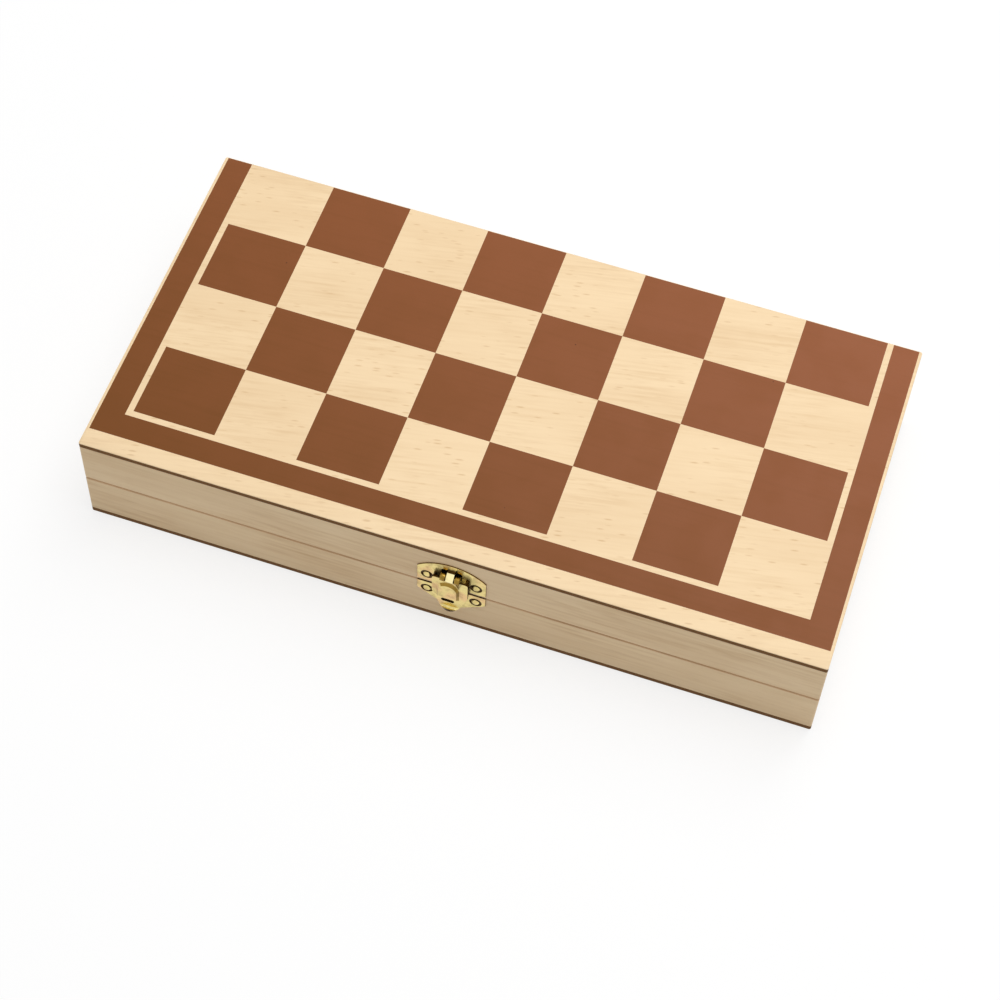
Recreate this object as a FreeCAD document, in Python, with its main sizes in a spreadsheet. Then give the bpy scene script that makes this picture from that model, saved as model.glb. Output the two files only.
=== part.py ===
import FreeCAD, Part
import math
import os
import Sketcher

# A folding wooden chess box, closed: two hinged halves, a brass latch, and magnetic chessmen in foam trays.
# The origin is the middle of the underside. +X runs along the hinges, the latch is at -Y and +Z is up.
# Each half is drawn as the lower one, and the upper one is turned over about the Y axis.

Vector = FreeCAD.Vector
Rotation = FreeCAD.Rotation

# Driving dimensions in millimetres, by the piece that carries them
SIZES = {
    # Box
    "box_length": 290,
    "box_depth": 148,
    "seam_gap": 0.2,
    "panel_thickness": 2.4,
    "sheet_thickness": 0.4,
    "wall_thickness": 7,
    "corner_radius": 0.8,
    "rim_ease": 0.6,
    # Clearances and the overrun of cuts
    "fit_gap": 0.3,
    "running_gap": 0.05,
    "cut_overrun": 1,
    # Trays
    "tray_thickness": 14.5,
    "tray_floor": 1.3,
    "tray_margin": 2,
    "row_margin": 9,
    "head_room": 0.3,
    # Chessmen
    "king_radius": 9.2,
    "king_height": 52,
    "magnet_radius": 3.2,
    "magnet_thickness": 2,
    "felt_thickness": 0.8,
    "felt_inset": 0.4,
    # Hinges
    "hinge_spacing": 184,
    "hinge_length": 22,
    "hinge_overhang": 0.15,
    "middle_knuckle": 8,
    "knuckle_radius": 1.6,
    "hinge_pin_radius": 0.8,
    "leaf_width": 5.6,
    "leaf_thickness": 0.7,
    "screw_spacing": 13,
    "screw_inset": 1.9,
    "screw_head_radius": 1.4,
    "screw_radius": 0.6,
    "screw_length": 8,
    # Latch plates
    "latch_offset": 3.2,
    "latch_rise": 1.2,
    "plate_width": 27,
    "plate_thickness": 0.5,
    "plate_split": 1.5,
    "upper_plate_rise": 15.4,
    "upper_plate_side": 9.6,
    "catch_plate_drop": 13.5,
    "catch_plate_side": 6,
    "catch_toe_width": 6.4,
    "catch_toe_round": 0.6,
    "catch_lip_height": 0.85,
    "catch_lip_width": 8,
    "catch_lip_drop": 4.3,
    "catch_lip_length": 2.4,
    "strap_width": 3,
    "window_rise": 1.3,
    "window_recess": 2.5,
    # Latch tongue and its pin
    "pivot_rise": 9.3,
    "pivot_stand": 1.9,
    "roll_radius": 1.7,
    "roll_width": 2,
    "latch_pin_radius": 0.7,
    "tongue_width": 14,
    "tongue_tip_width": 8,
    "tongue_reach": 11.6,
    "tongue_sheet": 0.8,
    "tongue_stand": 1.7,
    "shoulder_drop": 0.9,
    "taper_drop": 1.4,
    "tip_round": 2.4,
    "tip_flare": 1.4,
    "crease_drop": 6.2,
    "crease_rise": 1,
    "crease_depth": 0.45,
    "crease_hook": 0.15,
    "ridge_width": 7.6,
    "ridge_height": 0.9,
    # Latch nails
    "nail_spacing": 19.2,
    "nail_offset": 5,
    "nail_head_radius": 1.5,
    "nail_head_height": 0.6,
    "nail_radius": 0.6,
    "nail_length": 6,
}

# Sizes that follow from the driving ones, as expressions
SHEET_TOP = "(sizes.panel_thickness + sizes.sheet_thickness)"
HALF_HEIGHT = f"({SHEET_TOP} + sizes.tray_floor + 2 * (sizes.king_radius + sizes.fit_gap) + sizes.head_room)"
BOX_HEIGHT = f"(2 * {HALF_HEIGHT} + sizes.seam_gap)"
SEAM = f"({HALF_HEIGHT} + sizes.seam_gap / 2)"
FRONT = "(-sizes.box_depth / 2)"
REAR = "(sizes.box_depth / 2)"
SIDE = "(sizes.box_length / 2)"
INNER_SIDE = f"({SIDE} - sizes.wall_thickness)"
INNER_REAR = f"({REAR} - sizes.wall_thickness)"
TRAY_SIDE = f"({INNER_SIDE} - sizes.fit_gap)"
TRAY_REAR = f"({INNER_REAR} - sizes.fit_gap)"
TRAY_TOP = f"({SHEET_TOP} + sizes.tray_thickness)"
ROW = f"({TRAY_REAR} - sizes.row_margin)"
HINGE_Y = f"({REAR} + sizes.hinge_overhang)"
KNUCKLE_CLEAR = "(sizes.knuckle_radius + sizes.fit_gap)"
SCREW_Y = f"({HINGE_Y} - sizes.leaf_width + sizes.screw_inset)"
OUTER_KNUCKLE = "((sizes.hinge_length - sizes.middle_knuckle) / 2 - sizes.fit_gap)"
PIVOT = "sizes.pivot_rise"
LATCH_PLACE = ("sizes.latch_offset", FRONT, f"{SEAM} + sizes.latch_rise")
ROLL_START = "(sizes.strap_width / 2 + sizes.fit_gap)"
ROLL_END = f"({ROLL_START} + sizes.roll_width)"
WINDOW_SIDE = f"({ROLL_END} + sizes.fit_gap)"
WINDOW_LOW = f"({PIVOT} - sizes.roll_radius - sizes.fit_gap)"
WINDOW_TOP = f"({PIVOT} + sizes.roll_radius + sizes.window_rise)"
NAIL_HOLE = "(sizes.nail_radius + sizes.running_gap)"
SCREW_HOLE = "(sizes.screw_radius + sizes.running_gap)"
PIN_HOLE = "(sizes.latch_pin_radius + sizes.running_gap)"

# The rise of a quarter circle and of three eighths of a circle over the chord, as shares of the chord
QUARTER_SHARE = (2 ** 0.5 - 1) / 2
THREE_EIGHTHS_SHARE = math.tan(math.radians(135) / 4) / 2
DIAGONAL_SHARE = 2 ** -0.5

COLUMNS = 8
ALL_COLUMN_SHARES = [column + 0.5 - COLUMNS / 2 for column in range(COLUMNS)]

# Each chessman: its radius and height as shares of the king's, and its tray columns in column widths
MEN_SHARES = {
    "king": (1, 1, [0.5]),
    "queen": (0.96, 0.88, [-0.5]),
    "bishops": (0.89, 0.77, [-1.5, 1.5]),
    "knights": (0.89, 0.69, [-2.5, 2.5]),
    "rooks": (0.87, 0.6, [-3.5, 3.5]),
    "pawns": (0.78, 0.52, ALL_COLUMN_SHARES),
}

# Turned outlines from the base up: shares of the radius and height, and the bulge of the next stretch
PROFILE_SHARES = {
    "king": [
        (1, 0, 0), (1, 0.05, 0.1), (0.84, 0.11, 0), (0.78, 0.13, -0.12), (0.38, 0.5, 0), (0.68, 0.53, 0.35),
        (0.62, 0.57, 0), (0.4, 0.59, -0.08), (0.62, 0.8, 0.15), (0.54, 0.83, 0.12), (0, 0.88, 0),
    ],
    "queen": [
        (1, 0, 0), (1, 0.055, 0.1), (0.84, 0.12, 0), (0.78, 0.145, -0.12), (0.37, 0.54, 0),
        (0.66, 0.57, 0.35), (0.6, 0.61, 0), (0.38, 0.63, -0.1), (0.68, 0.88, 0), (0.5, 0.88, 0),
        (0.4, 0.855, 0.15), (0.17, 0.915, 0.343), (0, 1, 0),
    ],
    "bishops": [
        (1, 0, 0), (1, 0.06, 0.1), (0.84, 0.13, 0), (0.78, 0.155, -0.12), (0.36, 0.54, 0), (0.66, 0.57, 0.35),
        (0.6, 0.61, 0), (0.36, 0.64, 0.27), (0.14, 0.925, 0.343), (0, 1, 0),
    ],
    "knights": [
        (1, 0, 0), (1, 0.065, 0.1), (0.86, 0.14, 0), (0.8, 0.17, 0.12), (0.66, 0.22, 0), (0, 0.22, 0),
    ],
    "rooks": [
        (1, 0, 0), (1, 0.075, 0.1), (0.86, 0.16, 0), (0.8, 0.19, -0.1), (0.52, 0.62, 0), (0.76, 0.7, 0),
        (0.76, 1, 0), (0.52, 1, 0), (0.52, 0.88, 0), (0, 0.88, 0),
    ],
    "pawns": [
        (1, 0, 0), (1, 0.08, 0.1), (0.8, 0.17, 0), (0.74, 0.21, -0.12), (0.36, 0.55, 0), (0.66, 0.59, 0.4),
        (0.6, 0.64, 0), (0.4, 0.67, 0.363), (0, 1, 0),
    ],
}

# Flat outlines on the men, as shares of the radius and of the height
KNIGHT_HEAD_SHARES = [
    (0.6, 0.2, -0.1), (0.28, 0.5, 0.1), (0.42, 0.57, -0.05), (0.78, 0.58, 0.2), (0.85, 0.69, -0.05),
    (0.5, 0.87, 0), (0.3, 0.99, 0), (0.12, 0.94, 0), (-0.08, 1, 0), (-0.16, 0.91, 0.12),
    (-0.68, 0.6, 0.08), (-0.62, 0.2, 0),
]
KING_CROSS_SHARES = [
    (0.13, 0.85, 0), (0.1, 0.91, 0), (0.3, 0.9, 0), (0.3, 0.955, 0), (0.1, 0.945, 0), (0.14, 1, 0),
    (-0.14, 1, 0), (-0.1, 0.945, 0), (-0.3, 0.955, 0), (-0.3, 0.9, 0), (-0.1, 0.91, 0), (-0.13, 0.85, 0),
]
BISHOP_CUT_SHARES = [(0.08, 0.8, 0), (0.16, 0.78, 0), (0.9, 0.9, 0), (0.82, 0.92, 0)]
ROOK_SLOT_SHARES = [(0.14, 0.88, 0), (0.14, 1.1, 0), (-0.14, 1.1, 0), (-0.14, 0.88, 0)]
QUEEN_NOTCH_SHARES = [(0.1, 0.89, 0), (-0.1, 0.89, 0), (0, 0.845, 0)]
KNIGHT_THICKNESS_SHARE = 0.8
CROSS_THICKNESS_SHARE = 0.26
NOTCH_DEPTH_SHARE = 0.24
NOTCH_START_SHARE = 0.72
NOTCH_COUNT = 9
DOME_SHARE = 0.096

FULL_TURN = 360
UPRIGHT = Rotation()
HEAD_TO_REAR = Rotation(Vector(1, 0, 0), -90)
HEAD_TO_FRONT = Rotation(Vector(1, 0, 0), 90)
ALONG_X = Rotation(Vector(0, 1, 0), 90)

DOC = FreeCAD.newDocument("chess_box")
NODES = {}


def write_sizes():
    """Put the driving dimensions in a sheet, each cell under its own name."""
    sheet = DOC.addObject("Spreadsheet::Sheet", "sizes")
    for row, (name, size) in enumerate(SIZES.items(), start=1):
        sheet.set(f"A{row}", name)
        sheet.set(f"B{row}", str(size))
        sheet.setAlias(f"B{row}", name)
    DOC.recompute()
    return sheet


SHEET = write_sizes()


class Half:
    """One half of the box: the lower stays as drawn, and the upper is turned over."""

    def __init__(self, name, colour, sign):
        self.name = name
        self.colour = colour
        self.sign = sign
        self.turn = UPRIGHT if sign > 0 else Rotation(Vector(0, 1, 0), 180)

    def lay(self, item, x="0", y="0", z="0", turn=UPRIGHT):
        """Place an item that is drawn for the lower half into this half."""
        height = z if self.sign > 0 else f"{BOX_HEIGHT} - ({z})"
        put(item, (f"{self.sign} * ({x})", y, height), self.turn.multiply(turn))


HALVES = [Half("lower", "black", 1), Half("upper", "white", -1)]


def value(expression):
    """Work out an expression with the sizes in the sheet."""
    return float(SHEET.evalExpression(str(expression)))


def put(item, place, turn=UPRIGHT):
    """Turn an item and bind its place to three expressions."""
    item.Placement = FreeCAD.Placement(Vector(*map(value, place)), turn)
    for axis, expression in zip("xyz", place):
        item.setExpression(f"Placement.Base.{axis}", expression)


def finished(name, item):
    """Keep an item as the node of that name."""
    item.Label = name
    NODES[name] = item


def new_body(name):
    """Start a body."""
    return DOC.addObject("PartDesign::Body", name)


def origin_feature(body, role):
    """Find one of a body's own planes or axes."""
    return next(feature for feature in body.Origin.OriginFeatures if feature.Role == role)


def new_sketch(body, name, plane, offset):
    """Start a sketch on one of the body's planes, moved along the plane's normal."""
    sketch = body.newObject("Sketcher::SketchObject", name)
    sketch.AttachmentSupport = [(origin_feature(body, plane), "")]
    sketch.MapMode = "FlatFace"
    sketch.setExpression("AttachmentOffset.Base.z", offset)
    return sketch


def stretch(start, end, bulge):
    """Make one stretch of an outline and say which of its ends comes first."""
    if bulge == 0:
        return Part.LineSegment(start, end), 1, 2
    along = end - start
    middle = start + along * 0.5 + Vector(along.y, -along.x, 0) * bulge
    if bulge > 0:
        return Part.Arc(start, middle, end), 1, 2
    return Part.Arc(end, middle, start), 2, 1


def arc_radius(start, end, bulge):
    """Write the radius of an arc from its end points and its bulge."""
    chord = f"sqrt(({end[0]} - ({start[0]}))^2 + ({end[1]} - ({start[1]}))^2)"
    return f"{chord} * (0.25 + ({bulge})^2) / (2 * abs({bulge}))"


def bind_rule(sketch, expression, kind, *places):
    """Add a rule to a sketch and bind its size to an expression."""
    rule = Sketcher.Constraint(kind, *places, value(expression))
    sketch.setExpression(f"Constraints[{sketch.addConstraint(rule)}]", expression)


def outline(body, name, plane, points, offset="0"):
    """Draw a closed outline, anticlockwise: x, y and the outward bulge of the next stretch."""
    sketch = new_sketch(body, name, plane, offset)
    following = points[1:] + points[:1]
    ends = []
    for (x, y, bulge), (next_x, next_y, next_bulge) in zip(points, following):
        start, end = Vector(value(x), value(y), 0), Vector(value(next_x), value(next_y), 0)
        curve, first, last = stretch(start, end, value(bulge))
        sketch.addGeometry(curve)
        ends.append((first, last))
    places = list(range(len(points)))
    for before, index in zip(places, places[1:] + places[:1]):
        meeting = (before, ends[before][1], index, ends[index][0])
        sketch.addConstraint(Sketcher.Constraint("Coincident", *meeting))
    for index, ((x, y, bulge), (next_x, next_y, next_bulge)) in enumerate(zip(points, following)):
        bind_rule(sketch, x, "DistanceX", -1, 1, index, ends[index][0])
        bind_rule(sketch, y, "DistanceY", -1, 1, index, ends[index][0])
        if value(bulge) != 0 and value(next_x) == 0 and plane == "XZ_Plane":
            sketch.addConstraint(Sketcher.Constraint("PointOnObject", index, 3, -2))
        elif value(bulge) != 0:
            bind_rule(sketch, arc_radius((x, y), (next_x, next_y), bulge), "Radius", index)
    return sketch


def circle(body, name, plane, x, y, radius, offset="0"):
    """Draw a circle on one of the body's planes."""
    sketch = new_sketch(body, name, plane, offset)
    sketch.addGeometry(Part.Circle(Vector(value(x), value(y), 0), Vector(0, 0, 1), value(radius)))
    bind_rule(sketch, x, "DistanceX", -1, 1, 0, 3)
    bind_rule(sketch, y, "DistanceY", -1, 1, 0, 3)
    bind_rule(sketch, radius, "Radius", 0)
    return sketch


def rectangle(x_low, x_high, y_low, y_high):
    """List the corners of a rectangle."""
    return [(x_low, y_low, 0), (x_high, y_low, 0), (x_high, y_high, 0), (x_low, y_high, 0)]


def feature(body, kind, sketch, length):
    """Add a pad or a pocket of a sketch, along its normal or against it."""
    item = body.newObject(f"PartDesign::{kind}", f"{sketch.Name}_{kind.lower()}")
    item.Profile = sketch
    item.setExpression("Length", length)
    return item


def pad(body, sketch, length):
    """Add material along the sketch's normal."""
    return feature(body, "Pad", sketch, length)


def pocket(body, sketch, length):
    """Cut material away against the sketch's normal."""
    return feature(body, "Pocket", sketch, length)


def revolve(body, sketch):
    """Turn an outline about its upright axis."""
    item = body.newObject("PartDesign::Revolution", f"{sketch.Name}_turned")
    item.Profile = sketch
    item.ReferenceAxis = (sketch, ["V_Axis"])
    item.Angle = FULL_TURN
    return item


def ease(body, base, chosen):
    """Break the chosen edges of a feature along the rim."""
    DOC.recompute()
    names = [f"Edge{index}" for index, edge in enumerate(base.Shape.Edges, start=1) if chosen(edge)]
    item = body.newObject("PartDesign::Chamfer", f"{base.Name}_ease")
    item.Base = (base, names)
    item.setExpression("Size", "sizes.rim_ease")


def block(name, x, y, z, length, depth, height):
    """Make a box from its low corner."""
    item = DOC.addObject("Part::Box", name)
    put(item, (x, y, z))
    for side, expression in (("Length", length), ("Width", depth), ("Height", height)):
        item.setExpression(side, expression)
    return item


def rod(name, x, y, z, radius, length, turn=UPRIGHT):
    """Make a cylinder that starts at a point."""
    item = DOC.addObject("Part::Cylinder", name)
    put(item, (x, y, z), turn)
    item.setExpression("Radius", radius)
    item.setExpression("Height", length)
    return item


def joined(name, items):
    """Fuse several items."""
    item = DOC.addObject("Part::MultiFuse", name)
    item.Shapes = items
    return item


def cut(name, base, tools):
    """Take several tools away from a base."""
    item = DOC.addObject("Part::Cut", name)
    item.Base = base
    item.Tool = tools[0] if len(tools) == 1 else joined(f"{name}_tools", tools)
    return item


def copy_of(form, name):
    """Make another of a form, to be placed by itself."""
    item = DOC.addObject("App::Link", name)
    item.LinkedObject = form
    item.LinkTransform = False
    return item


def group(name, items):
    """Keep several separate solids as one node."""
    item = DOC.addObject("Part::Compound", name)
    item.Links = items
    finished(name, item)


def make_panel(half):
    """The board panel: it covers the whole half and has rounded corners."""
    name = f"{half.name}_board_panel"
    body = new_body(name)
    side, rear = SIDE, REAR
    side_start, rear_start = f"({SIDE} - sizes.corner_radius)", f"({REAR} - sizes.corner_radius)"
    points = [
        (f"-{side_start}", f"-{rear}", 0), (side_start, f"-{rear}", QUARTER_SHARE),
        (side, f"-{rear_start}", 0), (side, rear_start, QUARTER_SHARE),
        (side_start, rear, 0), (f"-{side_start}", rear, QUARTER_SHARE),
        (f"-{side}", rear_start, 0), (f"-{side}", f"-{rear_start}", QUARTER_SHARE),
    ]
    pad(body, outline(body, f"{name}_outline", "XY_Plane", points), "sizes.panel_thickness")
    half.lay(body)
    finished(name, body)


def make_sheet(half):
    """The thin steel sheet that the magnets hold to, on the inside of the panel."""
    name = f"{half.name}_steel_sheet"
    body = new_body(name)
    points = rectangle(f"-{TRAY_SIDE}", TRAY_SIDE, f"-{TRAY_REAR}", TRAY_REAR)
    sketch = outline(body, f"{name}_outline", "XY_Plane", points, "sizes.panel_thickness")
    pad(body, sketch, "sizes.sheet_thickness")
    half.lay(body)
    finished(name, body)


def long_wall(name, sign):
    """A wall of the box's whole length with its two outer corners rounded; sign is -1 at the front."""
    body = new_body(f"{name}_body")
    start = f"({SIDE} - sizes.corner_radius)"
    side_start = f"({REAR} - sizes.corner_radius)"
    points = [
        (f"-{SIDE}", f"-{INNER_REAR}", 0), (f"-{SIDE}", f"-{side_start}", QUARTER_SHARE),
        (f"-{start}", FRONT, 0), (start, FRONT, QUARTER_SHARE),
        (SIDE, f"-{side_start}", 0), (SIDE, f"-{INNER_REAR}", 0),
    ]
    if sign > 0:
        points = [(f"-({x})", f"-({y})", bulge) for x, y, bulge in points]
    sketch = outline(body, f"{name}_outline", "XY_Plane", points, "sizes.panel_thickness")
    wall = pad(body, sketch, f"{HALF_HEIGHT} - sizes.panel_thickness")
    inner = sign * value(INNER_REAR)
    rim = value(HALF_HEIGHT)

    def outer_rim(edge):
        on_rim = all(abs(vertex.Z - rim) < Part.Precision.confusion() for vertex in edge.Vertexes)
        return on_rim and any(abs(vertex.Y - inner) > Part.Precision.confusion() for vertex in edge.Vertexes)

    ease(body, wall, outer_rim)
    return body


def make_front_wall(half):
    """The front wall, with a hole for each latch nail and, above the seam, a recess behind the window."""
    name = f"{half.name}_front_wall"
    body = long_wall(name, -1)
    middle = f"{half.sign} * sizes.latch_offset"
    for side in (-1, 1):
        x = f"{middle} + {side} * sizes.nail_spacing / 2"
        z = f"{SEAM} + {half.sign} * sizes.latch_rise - sizes.nail_offset"
        where = "left" if side < 0 else "right"
        hole = circle(body, f"{name}_{where}_nail", "XZ_Plane", x, z, NAIL_HOLE, REAR)
        pocket(body, hole, "sizes.nail_length - sizes.plate_thickness + sizes.fit_gap")
    if half.sign < 0:
        recess = rectangle(
            f"{middle} - {WINDOW_SIDE}", f"{middle} + {WINDOW_SIDE}",
            f"{SEAM} - sizes.latch_rise - {WINDOW_TOP}", f"{SEAM} - sizes.latch_rise - {WINDOW_LOW}",
        )
        pocket(body, outline(body, f"{name}_recess", "XZ_Plane", recess, REAR), "sizes.window_recess")
    half.lay(body)
    finished(name, body)


def hinge_seats(name):
    """The tools that seat both hinges in a rear wall: leaf recess, knuckle groove and screw holes."""
    tools = []
    for side in (-1, 1):
        start = f"{side} * sizes.hinge_spacing / 2 - sizes.hinge_length / 2"
        seat_length = "sizes.hinge_length + 2 * sizes.fit_gap"
        tools.append(block(
            f"{name}_recess", f"{start} - sizes.fit_gap", f"{HINGE_Y} - sizes.leaf_width - sizes.fit_gap",
            f"{HALF_HEIGHT} - sizes.leaf_thickness", seat_length, "sizes.leaf_width + sizes.cut_overrun",
            "sizes.leaf_thickness + sizes.cut_overrun",
        ))
        tools.append(rod(
            f"{name}_groove", f"{start} - sizes.fit_gap", HINGE_Y, SEAM, KNUCKLE_CLEAR, seat_length, ALONG_X,
        ))
        for end in (-1, 1):
            x = f"{side} * sizes.hinge_spacing / 2 + {end} * sizes.screw_spacing / 2"
            z = f"{HALF_HEIGHT} - sizes.screw_length - sizes.fit_gap"
            tools.append(rod(f"{name}_pilot", x, SCREW_Y, z, SCREW_HOLE, "sizes.screw_length"))
    return tools


def make_rear_wall(half):
    """The rear wall, with the hinges let into its rim."""
    name = f"{half.name}_rear_wall"
    wall = cut(name, long_wall(name, 1), hinge_seats(name))
    half.lay(wall)
    finished(name, wall)


def make_side_wall(half, where, side):
    """A side wall between the front and rear walls."""
    name = f"{half.name}_{where}_wall"
    body = new_body(name)
    sign = side * half.sign
    outer, inner = f"{sign} * {SIDE}", f"{sign} * {INNER_SIDE}"
    eased, rim = f"{sign} * ({SIDE} - sizes.rim_ease)", f"({HALF_HEIGHT})"
    points = [
        (inner, "sizes.panel_thickness", 0), (outer, "sizes.panel_thickness", 0),
        (outer, f"{rim} - sizes.rim_ease", 0), (eased, rim, 0), (inner, rim, 0),
    ]
    sketch = outline(body, f"{name}_outline", "XZ_Plane", points, INNER_REAR)
    wall = pad(body, sketch, f"2 * {INNER_REAR}")
    wall.Reversed = True
    half.lay(body)
    finished(name, body)


def man_sizes(man):
    """Write a chessman's radius and height."""
    radius_share, height_share, columns = MEN_SHARES[man]
    return f"({radius_share} * sizes.king_radius)", f"({height_share} * sizes.king_height)"


def column_x(column):
    """Write the place of a tray column."""
    return f"({column} * 2 * ({TRAY_SIDE} - sizes.tray_margin) / {COLUMNS})"


def man_axis(man):
    """Write how high a chessman's axis lies in its pocket."""
    return f"({SHEET_TOP} + sizes.tray_floor + sizes.fit_gap + {man_sizes(man)[0]})"


def make_tray(half):
    """The foam tray, with a round-bottomed pocket for each chessman."""
    name = f"{half.name}_foam_tray"
    body = new_body(name)
    points = rectangle(f"-{TRAY_SIDE}", TRAY_SIDE, f"-{TRAY_REAR}", TRAY_REAR)
    pad(body, outline(body, f"{name}_outline", "XY_Plane", points, SHEET_TOP), "sizes.tray_thickness")
    for man, (radius_share, height_share, columns) in MEN_SHARES.items():
        radius, height = man_sizes(man)
        wide, axis, top = f"({radius} + sizes.fit_gap)", man_axis(man), f"({TRAY_TOP} + sizes.cut_overrun)"
        length = f"({height} + sizes.felt_thickness + 2 * sizes.fit_gap)"
        front = f"({ROW} + sizes.fit_gap - {length})" if man == "pawns" else f"(-{ROW} - sizes.fit_gap)"
        for number, column in enumerate(columns):
            x = column_x(column)
            points = [
                (f"{x} - {wide}", top, 0), (f"{x} - {wide}", axis, QUARTER_SHARE),
                (x, f"{axis} - {wide}", QUARTER_SHARE), (f"{x} + {wide}", axis, 0), (f"{x} + {wide}", top, 0),
            ]
            hollow = outline(body, f"{name}_{man}_{number}", "XZ_Plane", points, f"-{front}")
            pocket(body, hollow, length)
    half.lay(body)
    finished(name, body)


def shaped(table, man):
    """Write a table of shares in a chessman's radius and height."""
    radius, height = man_sizes(man)
    return [(f"{across} * {radius}", f"{up} * {height}", bulge) for across, up, bulge in table]


def turned_man(man):
    """A turned chessman standing on its base, with a bore for its magnet."""
    body = new_body(f"{man}_form")
    bore, depth = "(sizes.magnet_radius + sizes.running_gap)", "(sizes.magnet_thickness + sizes.running_gap)"
    points = [("0", depth, 0), (bore, depth, 0), (bore, "0", 0)] + shaped(PROFILE_SHARES[man], man)
    revolve(body, outline(body, f"{man}_outline", "XZ_Plane", points))
    return body


def flat_pad(body, man, table, thickness_share):
    """Add a flat shape in the middle of a chessman."""
    radius = man_sizes(man)[0]
    half_thickness = f"{thickness_share} * {radius} / 2"
    sketch = outline(body, f"{man}_flat", "XZ_Plane", shaped(table, man), f"-{half_thickness}")
    pad(body, sketch, f"2 * {half_thickness}")


def cross_slots(body):
    """Cut the rook's top across in both directions."""
    radius = man_sizes("rooks")[0]
    for plane in ("XZ_Plane", "YZ_Plane"):
        sketch = outline(body, f"rook_slot_{plane}", plane, shaped(ROOK_SLOT_SHARES, "rooks"), radius)
        pocket(body, sketch, f"2 * {radius}")


def mitre_cut(body):
    """Cut the bishop's slanting slot."""
    radius = man_sizes("bishops")[0]
    sketch = outline(body, "bishop_cut", "XZ_Plane", shaped(BISHOP_CUT_SHARES, "bishops"), radius)
    pocket(body, sketch, f"2 * {radius}")


def crown_notches(body):
    """Cut the notches round the queen's crown."""
    radius = man_sizes("queen")[0]
    start = f"{NOTCH_START_SHARE} * {radius}"
    sketch = outline(body, "queen_notch", "XZ_Plane", shaped(QUEEN_NOTCH_SHARES, "queen"), start)
    notch = pocket(body, sketch, f"{NOTCH_DEPTH_SHARE} * {radius}")
    DOC.recompute()
    ring = body.newObject("PartDesign::PolarPattern", "queen_notches")
    ring.Originals = [notch]
    ring.Axis = (origin_feature(body, "Z_Axis"), [""])
    ring.Angle = FULL_TURN
    ring.Occurrences = NOTCH_COUNT
    body.Tip = ring


def make_forms():
    """One standing form of each chessman, with its felt disc, and the magnet that they share."""
    forms = {man: turned_man(man) for man in MEN_SHARES}
    flat_pad(forms["king"], "king", KING_CROSS_SHARES, CROSS_THICKNESS_SHARE)
    flat_pad(forms["knights"], "knights", KNIGHT_HEAD_SHARES, KNIGHT_THICKNESS_SHARE)
    crown_notches(forms["queen"])
    mitre_cut(forms["bishops"])
    cross_slots(forms["rooks"])
    felts = {}
    for man in MEN_SHARES:
        radius = f"{man_sizes(man)[0]} - sizes.felt_inset"
        felts[man] = rod(f"{man}_felt_form", "0", "0", "0", radius, "sizes.felt_thickness")
    magnet = rod("magnet_form", "0", "0", "0", "sizes.magnet_radius", "sizes.magnet_thickness")
    return forms, felts, magnet


def make_men(half, forms, felts, magnet):
    """Lay one colour's chessmen, magnets and felt discs in the pockets of a half."""
    magnets, discs = [], []
    for man, (radius_share, height_share, columns) in MEN_SHARES.items():
        men = []
        end, turn = ("", HEAD_TO_FRONT) if man == "pawns" else ("-", HEAD_TO_REAR)
        base = f"{end}({ROW} - sizes.felt_thickness)"
        for number, column in enumerate(columns):
            kinds = ((forms[man], base, men), (magnet, base, magnets), (felts[man], end + ROW, discs))
            for form, row, kept in kinds:
                item = copy_of(form, f"{half.colour}_{man}_{number}_{form.Name}")
                half.lay(item, column_x(column), row, man_axis(man), turn)
                kept.append(item)
        group(f"{half.colour}_{man}", men)
    group(f"{half.colour}_magnets", magnets)
    group(f"{half.colour}_felt_discs", discs)


def make_leaf(half, where, side):
    """A hinge leaf: the lower one has the two outer knuckles, and the upper one the middle knuckle."""
    name = f"{where}_hinge_{half.name}_leaf"
    middle = f"{side * half.sign} * sizes.hinge_spacing / 2"
    low = f"({middle} - sizes.hinge_length / 2)"
    bottom = f"{HALF_HEIGHT} - sizes.leaf_thickness"
    plate = block(
        f"{name}_plate", low, f"{HINGE_Y} - sizes.leaf_width", bottom,
        "sizes.hinge_length", f"sizes.leaf_width - {KNUCKLE_CLEAR}", "sizes.leaf_thickness",
    )
    outer = [(low, OUTER_KNUCKLE), (f"({middle} + sizes.hinge_length / 2 - {OUTER_KNUCKLE})", OUTER_KNUCKLE)]
    inner = [(f"({middle} - sizes.middle_knuckle / 2)", "sizes.middle_knuckle")]
    pieces = [plate]
    for start, length in (outer if half.sign > 0 else inner):
        pieces.append(block(
            f"{name}_neck", start, f"{HINGE_Y} - {KNUCKLE_CLEAR}", bottom,
            length, KNUCKLE_CLEAR, "sizes.leaf_thickness",
        ))
        pieces.append(rod(f"{name}_knuckle", start, HINGE_Y, SEAM, "sizes.knuckle_radius", length, ALONG_X))
    bore = "sizes.hinge_pin_radius + sizes.running_gap"
    tools = [rod(f"{name}_bore", low, HINGE_Y, SEAM, bore, "sizes.hinge_length", ALONG_X)]
    for end in (-1, 1):
        sink = DOC.addObject("Part::Cone", f"{name}_sink")
        put(sink, (f"{middle} + {end} * sizes.screw_spacing / 2", SCREW_Y, bottom))
        sink.setExpression("Radius1", SCREW_HOLE)
        sink.setExpression("Radius2", "sizes.screw_head_radius + sizes.running_gap")
        sink.setExpression("Height", "sizes.leaf_thickness")
        tools.append(sink)
    leaf = cut(name, joined(f"{name}_solid", pieces), tools)
    half.lay(leaf)
    finished(name, leaf)


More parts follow.
